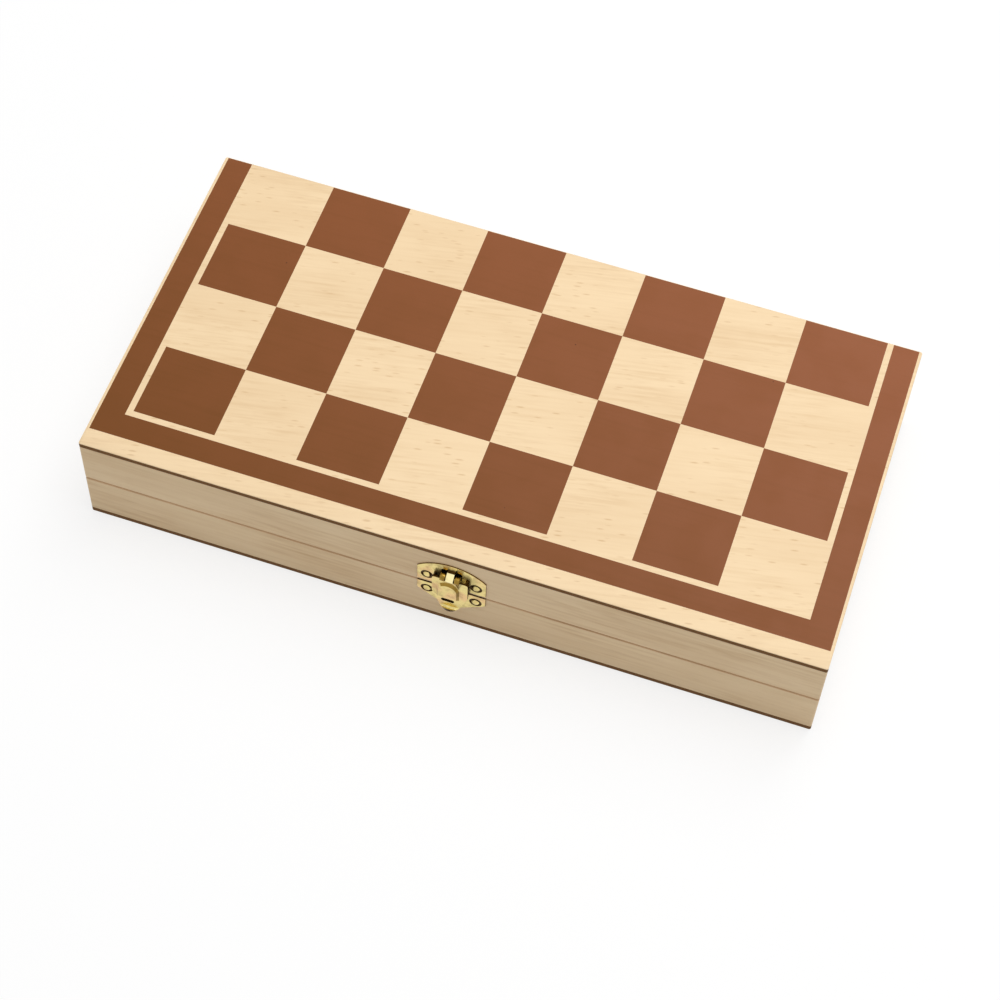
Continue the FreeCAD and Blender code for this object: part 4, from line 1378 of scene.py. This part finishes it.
@dataclass
class FilledTray(SubAssembly):
    """The foam tray of one half with its chessmen and their felt discs."""

    half: Half
    thickness: float = 14.5 * MM
    floor: float = 1.3 * MM
    margin: float = 2 * MM
    row_margin: float = 9 * MM
    felt: float = 0.8 * MM
    felt_inset: float = 0.4 * MM
    felt_ease: float = 0.2 * MM
    mouth_ease: float = 0.5 * MM

    @property
    def side(self) -> float:
        """Half the tray's length."""
        return BOX.side - BOX.wall - BOX.fit

    @property
    def rear(self) -> float:
        """Half the tray's depth."""
        return BOX.rear - BOX.wall - BOX.fit

    @property
    def base(self) -> float:
        """Height of the tray's underside."""
        return BOX.panel + BOX.sheet

    @property
    def row(self) -> float:
        """Distance of the felt faces from the middle."""
        return self.rear - self.row_margin

    def column_x(self, column: float) -> float:
        """Place of a column."""
        return column * 2 * (self.side - self.margin) / 8

    def axis_z(self, man: Chessman) -> float:
        """Height of a lying man's axis."""
        return self.base + self.floor + BOX.fit + man.radius

    def pocket(self, man: Chessman, column: float) -> BMesh:
        """Make the tool for one pocket: round at the bottom and open at the top."""
        x, wide, axis = self.column_x(column), man.radius + BOX.fit, self.axis_z(man)
        top = self.base + self.thickness + self.floor
        length = man.height + self.felt + 2 * BOX.fit
        front = -self.row - BOX.fit if man.faces_rear else self.row + BOX.fit - length
        corners = [
            (x - wide, top, 0), (x - wide, axis, QUARTER_BULGE), (x, axis - wide, QUARTER_BULGE),
            (x + wide, axis, 0), (x + wide, top, 0),
        ]
        return plate(rounded(corners, steps=12), Plane.FRONT, -front - length, length)

    def foam(self, men: list[Chessman]) -> None:
        """Build and dress the tray."""
        top, sharp = self.base + self.thickness, math.radians(30)
        mesh = slab((-self.side, -self.rear, self.base), (self.side, self.rear, top))
        pockets = [self.pocket(man, column) for man in men for column in man.columns]
        mesh = combined(mesh, together(pockets), Join.CUT)
        mouths = [edge for edge in edges_at(mesh, Axis.Z, top) if edge.calc_face_angle(0) > sharp]
        ease(mesh, mouths, self.mouth_ease)
        node = f"{self.half.value}_foam_tray"
        piece = keep(self.half.lay(mesh), f"{node}_cut", self.half.body, [TRAY_FOAM], [node])

    def lie(self, mesh: BMesh, man: Chessman, column: float, base: float) -> BMesh:
        """Lay a standing form in its pocket.

        Args:
            mesh: The form, which is changed.
            man: The kind of man.
            column: Its column.
            base: How far its underside is from the felt's face.

        Returns:
            The same mesh.
        """
        sign = 1 if man.faces_rear else -1
        place = (self.column_x(column), -sign * (self.row - base), self.axis_z(man))
        return shifted(spun(mesh, -sign * QUARTER_TURN, "X"), place)

    def set_of(self, man: Chessman) -> None:
        """Build and dress all men of a kind."""
        form = man.form()
        copies = [self.lie(form.copy(), man, column, self.felt) for column in man.columns]
        form.free()
        node = f"{self.half.men}_{man.name}"
        slot, finish = ("dark_wood", DARK_MEN) if self.half is Half.LOWER else ("light_wood", LIGHT_MEN)
        keep(self.half.lay(together(copies)), f"{node}_turned", self.half.body, [finish], [node])

    def felts(self, men: list[Chessman]) -> None:
        """Build and dress the felt discs under the men."""
        discs = []
        for man in men:
            for column in man.columns:
                disc = rod((0, 0, 0), "Z", self.felt, man.radius - self.felt_inset, segments=48)
                discs.append(self.lie(soften(disc, self.felt_ease, segments=2, least=60), man, column, 0))
        node = f"{self.half.men}_felt_discs"
        keep(self.half.lay(together(discs)), f"{node}_pressed", self.half.body, [GREEN_FELT], [node])

    def build(self) -> None:
        """Build and dress the tray and what lies in it."""
        men = make_men()
        self.foam(men)
        for man in men:
            self.set_of(man)
        self.felts(men)


@dataclass
class Hinge(SubAssembly):
    """One of the two hinges at the rear edge."""

    side: Side
    edge: float = 0.12 * MM
    pin_ease: float = 0.25 * MM

    @property
    def middle(self) -> float:
        """Place of the hinge along the box."""
        return self.side.value * HINGE.spacing / 2

    def knuckles(self, half: Half) -> list[tuple[float, float]]:
        """Start and length of a leaf's knuckles."""
        low, high = self.middle - HINGE.length / 2, self.middle + HINGE.length / 2
        outer = (HINGE.length - HINGE.middle_knuckle) / 2 - BOX.fit
        if half is Half.LOWER:
            return [(low, outer), (high - outer, outer)]
        return [(self.middle - HINGE.middle_knuckle / 2, HINGE.middle_knuckle)]

    def leaf(self, half: Half) -> None:
        """Build and dress one leaf, drawn on the lower half."""
        middle = self.middle if half is Half.LOWER else -self.middle
        drawn = Hinge(self.side if half is Half.LOWER else self.other_side())
        low, high, bottom = middle - HINGE.length / 2, middle + HINGE.length / 2, BOX.rim - HINGE.leaf
        inner, neck = HINGE.axis_y - HINGE.leaf_width, HINGE.axis_y - HINGE.clear
        mesh = slab((low, inner, bottom), (high, neck, BOX.rim))
        for start, length in drawn.knuckles(half):
            web = slab((start, neck, bottom), (start + length, HINGE.axis_y, BOX.rim))
            mesh = combined(mesh, web, Join.ADD)
            mesh = combined(mesh, rod((start, HINGE.axis_y, BOX.seam), "X", length, HINGE.knuckle), Join.ADD)
        thick, head, shank = HINGE.leaf, HINGE.screw_head, HINGE.screw_shank
        outline = [(0, -thick), (shank, -thick), (shank, 0), (head, thick), (head, 2 * thick), (0, 2 * thick)]
        for end in (-1, 1):
            place = (middle + end * HINGE.screw_spacing / 2, HINGE.screw_y, bottom)
            sink = turned([Vector(point) for point in outline], steps=32)
            mesh = combined(mesh, shifted(sink, place), Join.CUT)
        bore = rod((low - BOX.fit, HINGE.axis_y, BOX.seam), "X", HINGE.length + 2 * BOX.fit, HINGE.bore)
        mesh = soften(combined(mesh, bore, Join.CUT), self.edge, segments=2, least=50)
        node = f"{self.side.word}_hinge_{half.value}_leaf"
        keep(half.lay(mesh), f"{node}_brass", half.body, [HINGE_BRASS], [node])

    def other_side(self) -> Side:
        """The opposite side."""
        return Side(-self.side.value)

    def pin(self) -> None:
        """Build and dress the pin."""
        start = (self.middle - HINGE.length / 2, HINGE.axis_y, BOX.seam)
        mesh = soften(rod(start, "X", HINGE.length, HINGE.pin, segments=32), self.pin_ease, least=60)
        node = f"{self.side.word}_hinge_pin"
        keep(mesh, f"{node}_brass", Half.LOWER.body, [HINGE_BRASS], [node])

    def build(self) -> None:
        """Build and dress both leaves and the pin."""
        for half in Half:
            self.leaf(half)
        self.pin()


@dataclass
class HingeScrews(SubAssembly):
    """The countersunk screws of one half."""

    half: Half
    slot_width: float = 0.4 * MM
    slot_depth: float = 0.3 * MM
    slot_share: float = 0.75
    end_turn: float = math.radians(25)
    side_turn: float = math.radians(40)

    def form(self) -> BMesh:
        """Make one screw with its head up at the origin."""
        head, shank, length = HINGE.screw_head, HINGE.screw_shank, HINGE.screw_length
        outline = [(0, -length), (shank, -length + 2 * shank), (shank, -HINGE.leaf), (head, 0), (0, 0)]
        mesh = turned([Vector(point) for point in outline], steps=32)
        run, half = head * self.slot_share, self.slot_width / 2
        for size_x, size_y in ((run, half), (half, run)):
            low, high = (-size_x, -size_y, -self.slot_depth), (size_x, size_y, self.slot_depth)
            mesh = combined(mesh, slab(low, high), Join.CUT)
        return mesh

    def build(self) -> None:
        """Build and dress the four screws."""
        form = self.form()
        copies = []
        for side in Side:
            for end in (-1, 1):
                x = side.value * HINGE.spacing / 2 + end * HINGE.screw_spacing / 2
                turn = self.end_turn * end + self.side_turn * side.value
                copies.append(shifted(spun(form.copy(), turn, "Z"), (x, HINGE.screw_y, BOX.rim)))
        form.free()
        node = f"{self.half.value}_hinge_screws"
        mesh = self.half.lay(together(copies))
        keep(mesh, f"{node}_brass", self.half.body, [HINGE_BRASS], [node])


@dataclass
class Latch(SubAssembly):
    """The brass latch on the front, drawn about its middle on the front face."""

    width: float = 27 * MM
    sheet: float = 0.5 * MM
    split: float = 1.5 * MM
    upper_rise: float = 15.4 * MM
    upper_side: float = 9.6 * MM
    catch_drop: float = 13.5 * MM
    catch_side: float = 6 * MM
    toe: float = 6.4 * MM
    toe_round: float = 0.6 * MM
    lip_drop: float = 4.3 * MM
    lip_length: float = 2.4 * MM
    lip_width: float = 8 * MM
    lip_height: float = 0.85 * MM
    pin_radius: float = 0.7 * MM
    bore: float = 0.75 * MM
    tongue_width: float = 14 * MM
    tip_width: float = 8 * MM
    reach: float = 11.6 * MM
    blade: float = 0.8 * MM
    stand: float = 1.7 * MM
    shoulder_drop: float = 0.9 * MM
    taper_drop: float = 1.4 * MM
    tip_round: float = 2.4 * MM
    flare: float = 1.4 * MM
    crease_drop: float = 6.2 * MM
    crease_width: float = 5.2 * MM
    crease_height: float = 2 * MM
    crease_depth: float = 0.45 * MM
    crown_rise: float = 2.7 * MM
    hem: float = 0.7 * MM
    hem_stand: float = 0.8 * MM
    ridge_shift: float = -0.7 * MM
    ridge_width: float = 10 * MM
    ridge_height: float = 0.9 * MM
    ridge_drop: float = 4.4 * MM
    ridge_slope: float = 1.4 * MM
    ridge_gap: float = 0.6 * MM
    nail_spacing: float = 19.2 * MM
    nail_offset: float = 5 * MM
    nail_head: float = 1.5 * MM
    nail_dome: float = 0.6 * MM
    nail_shank: float = 0.6 * MM
    nail_length: float = 6 * MM
    nail_bulge: float = 0.16
    ring: float = 0.6 * MM
    ring_spread: float = 0.7
    ring_flatness: float = 0.6
    window_round: float = 1.1 * MM
    shoulder_round: float = 1.0 * MM
    crease_round: float = 0.45
    tip_swell: float = 1.6
    hem_inset: float = 1.0 * MM
    strap_ease: float = 0.2 * MM
    plate_ease: float = 0.14 * MM
    lip_ease: float = 0.1 * MM
    blade_ease: float = 0.16 * MM
    roll_ease: float = 0.22 * MM
    pin_ease: float = 0.25 * MM

    @property
    def place(self) -> Place:
        """Middle of the latch on the front face."""
        return (PIVOT.offset, -BOX.rear, BOX.seam + PIVOT.seat)

    def keep(self, mesh: BMesh, node: str, body: str) -> None:
        """Put a mesh in its place on the box and keep it."""
        finishes = [LATCH_BRASS, RIM_SHADE_BRASS, SHADE_PAINTED_BRASS, HIGHLIGHT_PAINTED_BRASS, SHADED_BRASS]
        keep(shifted(mesh, self.place), f"{node}_brass", body, finishes, [node])

    def nail_places(self, half: Half) -> list[Place]:
        """Where the two nails of a half's plate are."""
        up = self.nail_offset if half is Half.UPPER else -self.nail_offset
        return [(side.value * self.nail_spacing / 2, -self.sheet, up) for side in Side]

    def ringed(self, mesh: BMesh, half: Half) -> BMesh:
        """Press a ring into a plate round each nail, whose groove is painted near black as shade.

        Args:
            mesh: The plate.
            half: The half that it is on.

        Returns:
            The new mesh.
        """
        away = Matrix.Translation((self.nail_head + self.ring * self.ring_spread, 0, 0))
        flat = Matrix.Diagonal((1, 1, self.ring_flatness, 1))
        section = away @ flat @ Matrix.Rotation(QUARTER_TURN, 4, "X")
        for place in self.nail_places(half):
            ring = bmesh.new()
            bmesh.ops.create_circle(ring, cap_ends=False, segments=10, radius=self.ring, matrix=section)
            revolved(ring, ring.verts[:] + ring.edges[:], steps=32)
            shifted(spun(ring, QUARTER_TURN, "X"), place)
            mesh = combined(mesh, painted(ring, Tone.DARK), Join.CUT)
        return mesh

    def strap(self) -> BMesh:
        """Make the strap that bends out of the upper plate and holds the pin, with a painted highlight on its
        front below the crown and painted shade on its sides and above.
        """
        front, lean = -PIVOT.stand, PIVOT.roll / math.sqrt(2)
        root, crown = PIVOT.window[2] + self.sheet, PIVOT.rise + self.crown_rise
        corners = [
            (-self.sheet / 2, root, 0), (-self.sheet, root, 0),
            (front - lean, PIVOT.rise + lean, math.tan(math.radians(135) / 4) / 2),
            (front, PIVOT.rise - PIVOT.roll, QUARTER_BULGE), (front + PIVOT.roll, PIVOT.rise, 0),
        ]
        mesh = plate(rounded(corners, steps=14), Plane.SIDE, -PIVOT.strap / 2, PIVOT.strap)
        divide(mesh, crown)
        # painted highlight on the front faces below the crown, near black painted shade on all other faces
        for face in mesh.faces:
            bright = face.calc_center_median().z < crown and abs(face.normal.x) < 0.5
            face.material_index = Tone.BRIGHT if bright else Tone.DARK
        return soften(mesh, self.strap_ease, segments=2, least=50)

    def upper_plate(self) -> None:
        """Build and dress the domed plate with its window and strap."""
        half, low, high = self.width / 2, self.split / 2, self.upper_side
        dome = (self.upper_rise - high) / self.width
        corners = [(-half, low, 0), (half, low, 0), (half, high, dome), (-half, high, 0)]
        # painted shade: the plate's rims take the dark brown rim finish
        mesh = plate(rounded(corners, steps=28), Plane.FRONT, 0, self.sheet, Tone.EDGE)
        mesh = soften(mesh, self.plate_ease, least=50)
        side, under, over = PIVOT.window
        # painted shade: the walls of the window take the near black finish
        window = slab((-side, -2 * self.sheet, under), (side, self.sheet, over))
        ease(window, edges_through(window, self.sheet), self.window_round, segments=5)
        mesh = self.ringed(combined(mesh, painted(window, Tone.DARK), Join.CUT), Half.UPPER)
        mesh = combined(mesh, self.strap(), Join.ADD)
        bore = rod((-PIVOT.strap, -PIVOT.stand, PIVOT.rise), "X", 2 * PIVOT.strap, self.bore)
        self.keep(combined(mesh, bore, Join.CUT), "latch_upper_plate", Half.UPPER.body)

    def catch_plate(self) -> None:
        """Build and dress the lower plate with its lip."""
        half, toe, high = self.width / 2, self.toe / 2, -self.split / 2
        low = -(self.catch_drop - self.toe_round)
        corners = [
            (half, high, 0), (-half, high, 0), (-half, -self.catch_side, 0),
            (-toe, low, self.toe_round / self.toe), (toe, low, 0), (half, -self.catch_side, 0),
        ]
        # painted shade: the plate's rims, toe edge included, take the near black finish
        mesh = plate(rounded(corners, steps=12), Plane.FRONT, 0, self.sheet, Tone.DARK)
        mesh = self.ringed(soften(mesh, self.plate_ease, least=50), Half.LOWER)
        root, crest = -self.sheet / 2, -self.sheet - self.lip_height
        upper, lower = self.lip_length / 2 - self.lip_drop, -self.lip_length / 2 - self.lip_drop
        corners = [
            (root, upper, 0), (-self.sheet, upper, 0), (crest, -self.lip_drop, 0), (crest, lower, 0),
            (root, lower, 0),
        ]
        lip = plate(rounded(corners), Plane.SIDE, -self.lip_width / 2, self.lip_width)
        mesh = combined(mesh, soften(lip, self.lip_ease, segments=2, least=20), Join.ADD)
        self.keep(mesh, "latch_catch_plate", Half.LOWER.body)

    def blade_outline(self) -> list[Corner]:
        """Outline of the tongue with its fork and shoulders, as it is before its tip is curled."""
        wide, tip = self.tongue_width / 2, self.tip_width / 2
        inner, outer, shoulder = PIVOT.roll_start, PIVOT.roll_end, PIVOT.rise - self.shoulder_drop
        low = -(self.curl_start + self.curl_run - self.tip_round)
        half = [
            (tip, low, 0), (wide, -self.taper_drop, 0), (wide, shoulder, 0), (outer, shoulder, 0),
            (outer, PIVOT.rise, 0), (inner, PIVOT.rise, 0), (inner, PIVOT.window[1], 0),
        ]
        return mirrored(half)[:-1] + [(-tip, low, self.tip_round / self.tip_width)]

    @property
    def curl(self) -> float:
        """Radius of the curled tip at the middle of its sheet."""
        return self.flare + self.blade / 2

    @property
    def curl_start(self) -> float:
        """Where the tip starts to curl, below the latch's middle."""
        return self.reach - self.curl - self.blade / 2

    @property
    def curl_run(self) -> float:
        """Length of the curled tip along its sheet."""
        return self.curl * QUARTER_TURN

    def tongue_blade(self) -> BMesh:
        """Make the flat of the tongue, with its shoulders, taper and curled tip."""
        wide, shoulder = self.tongue_width / 2, PIVOT.rise - self.shoulder_drop
        # painted shade: the tongue's rims take the near black finish
        mesh = plate(rounded(self.blade_outline(), steps=20), Plane.FRONT, self.stand, self.blade, Tone.DARK)
        shoulders = [
            edge for edge in edges_through(mesh, self.blade / 2)
            if abs(edge.verts[0].co.z - shoulder) < WELD and abs(abs(edge.verts[0].co.x) - wide) < WELD
        ]
        ease(mesh, shoulders, self.shoulder_round, segments=5)
        steps = 9
        for step in range(steps):
            divide(mesh, -self.curl_start - self.curl_run * step / steps)
        middle = -self.stand - self.blade / 2
        for vert in mesh.verts:
            beyond = -self.curl_start - vert.co.z
            if beyond > 0:
                angle, proud = beyond / self.curl, middle - vert.co.y
                proud *= 1 + (self.tip_swell * (angle / QUARTER_TURN) ** 2 if proud > 0 else 0)
                vert.co.y = middle - self.curl * (1 - math.cos(angle)) - proud * math.cos(angle)
                vert.co.z = -self.curl_start - self.curl * math.sin(angle) + proud * math.sin(angle)
        return soften(mesh, self.blade_ease, segments=2, least=50)

    def ridge(self) -> BMesh:
        """Make the raised middle of the tongue with its sloping flanks, of which those facing right and up
        get painted shade.
        """
        half, top, low = self.ridge_width / 2, PIVOT.window[1] - self.ridge_gap, -self.ridge_drop
        corners = [
            (half, top - half, QUARTER_BULGE), (0, top, QUARTER_BULGE), (-half, top - half, 0),
            (-half, low, 0), (half, low, 0),
        ]
        start = self.stand + self.blade / 2
        mesh = plate(rounded(corners, steps=12), Plane.FRONT, start, self.blade / 2 + self.ridge_height)
        front = -(start + self.blade / 2 + self.ridge_height)
        bmesh.ops.bevel(
            mesh, geom=edges_at(mesh, Axis.Y, front), offset=self.ridge_slope, offset_type="OFFSET",
            affect="EDGES", segments=1, profile=0.5, material=-1,
        )
        # painted shade and reflection: the flanks facing right and up take the golden brown flank finish
        for face in mesh.faces:
            if face.normal.x > 0.3 or face.normal.z > 0.5:
                face.material_index = Tone.PAINTED_SHADE
        return shifted(mesh, (self.ridge_shift, 0, 0))

    def hems(self) -> list[BMesh]:
        """Make the edges of the tongue that are turned down towards the plate, painted near black as shade.
        """
        wide, back = self.tongue_width / 2, -(self.stand + self.blade / 2)
        low, high = self.hem_inset - self.taper_drop, PIVOT.rise - self.shoulder_drop - self.hem_inset
        return [
            painted(slab((start, back, low), (start + self.hem, -self.hem_stand, high)), Tone.DARK)
            for start in (-wide, wide - self.hem)
        ]

    def tongue(self) -> None:
        """Build and dress the tongue with its ridge, crease and rolls."""
        mesh = combined(self.tongue_blade(), self.ridge(), Join.ADD)
        for hem in self.hems():
            mesh = combined(mesh, hem, Join.ADD)
        for start in (-PIVOT.roll_end, PIVOT.roll_start):
            axis = (start, -PIVOT.stand, PIVOT.rise)
            roll = rod(axis, "X", PIVOT.roll_width, PIVOT.roll, segments=48)
            # painted shade: the rolls take the golden brown flank finish
            roll = painted(soften(roll, self.roll_ease, least=60), Tone.PAINTED_SHADE)
            mesh = combined(mesh, roll, Join.ADD)
        bore = rod((-2 * PIVOT.roll_end, -PIVOT.stand, PIVOT.rise), "X", 4 * PIVOT.roll_end, self.bore)
        mesh = combined(mesh, bore, Join.CUT)
        self.keep(combined(mesh, self.crease(), Join.CUT), "latch_tongue", "latch_tongue")

    def crease(self) -> BMesh:
        """Make the tool for the pressed crease below the ridge, whose cut faces get near black painted shade.
        """
        wide, high, over = self.crease_width / 2, self.crease_height / 2, 2 * MM
        bottom = -(self.stand + self.blade - self.crease_depth)
        tool = slab(
            (self.ridge_shift - wide, bottom - over, -self.crease_drop - high),
            (self.ridge_shift + wide, bottom, -self.crease_drop + high),
        )
        ease(tool, edges_through(tool, over / 2), self.crease_height * self.crease_round, segments=4)
        return painted(tool, Tone.DARK)

    def pin(self) -> None:
        """Build and dress the pin that the tongue swings on."""
        start = (-PIVOT.roll_end, -PIVOT.stand, PIVOT.rise)
        mesh = rod(start, "X", 2 * PIVOT.roll_end, self.pin_radius, segments=32)
        self.keep(soften(mesh, self.pin_ease, least=60), "latch_pin", Half.UPPER.body)

    def nails(self, half: Half) -> None:
        """Build and dress a plate's two nails."""
        corners = [
            (0, -self.nail_length, 0), (self.nail_shank, -self.nail_length + 2 * self.nail_shank, 0),
            (self.nail_shank, 0, 0), (self.nail_head, 0, self.nail_bulge), (0, self.nail_dome, 0),
        ]
        copies = []
        for place in self.nail_places(half):
            nail = turned(rounded(corners, closed=False, steps=10), steps=32)
            copies.append(shifted(spun(nail, QUARTER_TURN, "X"), place))
        self.keep(together(copies), f"latch_{half.value}_nails", half.body)

    def build(self) -> None:
        """Build and dress every piece of the latch."""
        self.upper_plate()
        self.catch_plate()
        self.tongue()
        self.pin()
        for half in Half:
            self.nails(half)


@dataclass
class HiddenMetal(SubAssembly):
    """The steel sheets and the magnets, which keep their own shapes."""

    half: Half

    def build(self) -> None:
        """Dress the sheet and the magnets of one half."""
        finishes = {f"{self.half.value}_steel_sheet": SHEET_STEEL, f"{self.half.men}_magnets": MAGNET_PLATING}
        for node, finish in finishes.items():
            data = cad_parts[node].data
            data.materials.clear()
            data.materials.append(finish.material())
            LOG.info("%s: dressed", node)


@dataclass
class Studio:
    """Floor, light and camera."""

    floor_size: float = 6.0
    floor_drop: float = 0.05 * MM
    sky: float = 0.42
    key_power: float = 15.7
    key_size: float = 1.3
    key_place: Place = (0.3, 0.18, 1.7)
    sheen_power: float = 4.8
    sheen_size: float = 0.8
    sheen_place: Place = (0.25, 1.0, 1.25)
    camera_place: Place = (0.14353, -0.50820, 0.80702)
    camera_target: Place = (0.003706, -0.016465, 0.0)
    camera_roll: float = 3.089
    lens: float = 87.388
    sensor: float = 36.0

    def build(self) -> None:
        """Set up the whole studio."""
        self.floor()
        self.light()
        self.camera()
        bpy.context.scene.view_settings.view_transform = "Standard"

    def floor(self) -> None:
        """Lay the floor."""
        mesh = bmesh.new()
        place = Matrix.Translation((0, 0, -self.floor_drop))
        bmesh.ops.create_grid(mesh, x_segments=8, y_segments=8, size=self.floor_size / 2, matrix=place)
        data = stored(mesh, "floor")
        data.materials.append(PaleFloor("pale_floor").material())
        floor = added("floor", data)

    def light(self) -> None:
        """Set the sky, the soft light overhead and a weak one behind that gives the print its sheen."""
        world = bpy.data.worlds.new("studio")
        world.use_nodes = True
        bpy.context.scene.world = world
        tree = world.node_tree
        seen = see_as_background(tree)
        level = tree.nodes.new("ShaderNodeMapRange")
        level.inputs["To Min"].default_value = self.sky
        level.inputs["To Max"].default_value = 1.0
        tree.links.new(seen, level.inputs["Value"])
        background = tree.nodes["Background"]
        background.inputs["Color"].default_value = (1, 1, 1, 1)
        tree.links.new(level.outputs["Result"], background.inputs["Strength"])
        self.lamp("soft_key", self.key_power, self.key_size, self.key_place)
        self.lamp("rear_sheen", self.sheen_power, self.sheen_size, self.sheen_place)

    def lamp(self, name: str, power: float, size: float, place: Place) -> None:
        """Hang a soft square lamp that points at the box.

        Args:
            name: Its name.
            power: Its power in watts.
            size: Its side.
            place: Where it hangs.
        """
        data = bpy.data.lights.new(name, "AREA")
        data.energy, data.size, data.shape = power, size, "SQUARE"
        lamp = added(name, data)
        lamp.location = place
        lamp.rotation_euler = (-Vector(place)).to_track_quat("-Z", "Y").to_euler()

    def camera(self) -> None:
        """Set the camera at the photograph's angle."""
        data = bpy.data.cameras.new("camera")
        data.lens, data.sensor_width = self.lens, self.sensor
        camera = added("camera", data)
        place, target = Vector(self.camera_place), Vector(self.camera_target)
        turn = (target - place).to_track_quat("-Z", "Y").to_matrix().to_4x4()
        roll = Matrix.Rotation(math.radians(self.camera_roll), 4, "Z")
        camera.matrix_world = Matrix.Translation(place) @ turn @ roll
        bpy.context.scene.camera = camera


def main() -> None:
    """Build every sub-assembly and the studio."""
    logging.basicConfig(level=logging.INFO, format="%(name)s %(message)s")
    groups: list[SubAssembly] = []
    for half in Half:
        groups += [BoardPanel(half), CaseWalls(half), FilledTray(half), HiddenMetal(half), HingeScrews(half)]
    groups += [Hinge(side) for side in Side] + [Latch()]
    for group in groups:
        LOG.info("building %s", type(group).__name__)
        group.build()
    Studio().build()


if __name__ == "__main__":
    main()
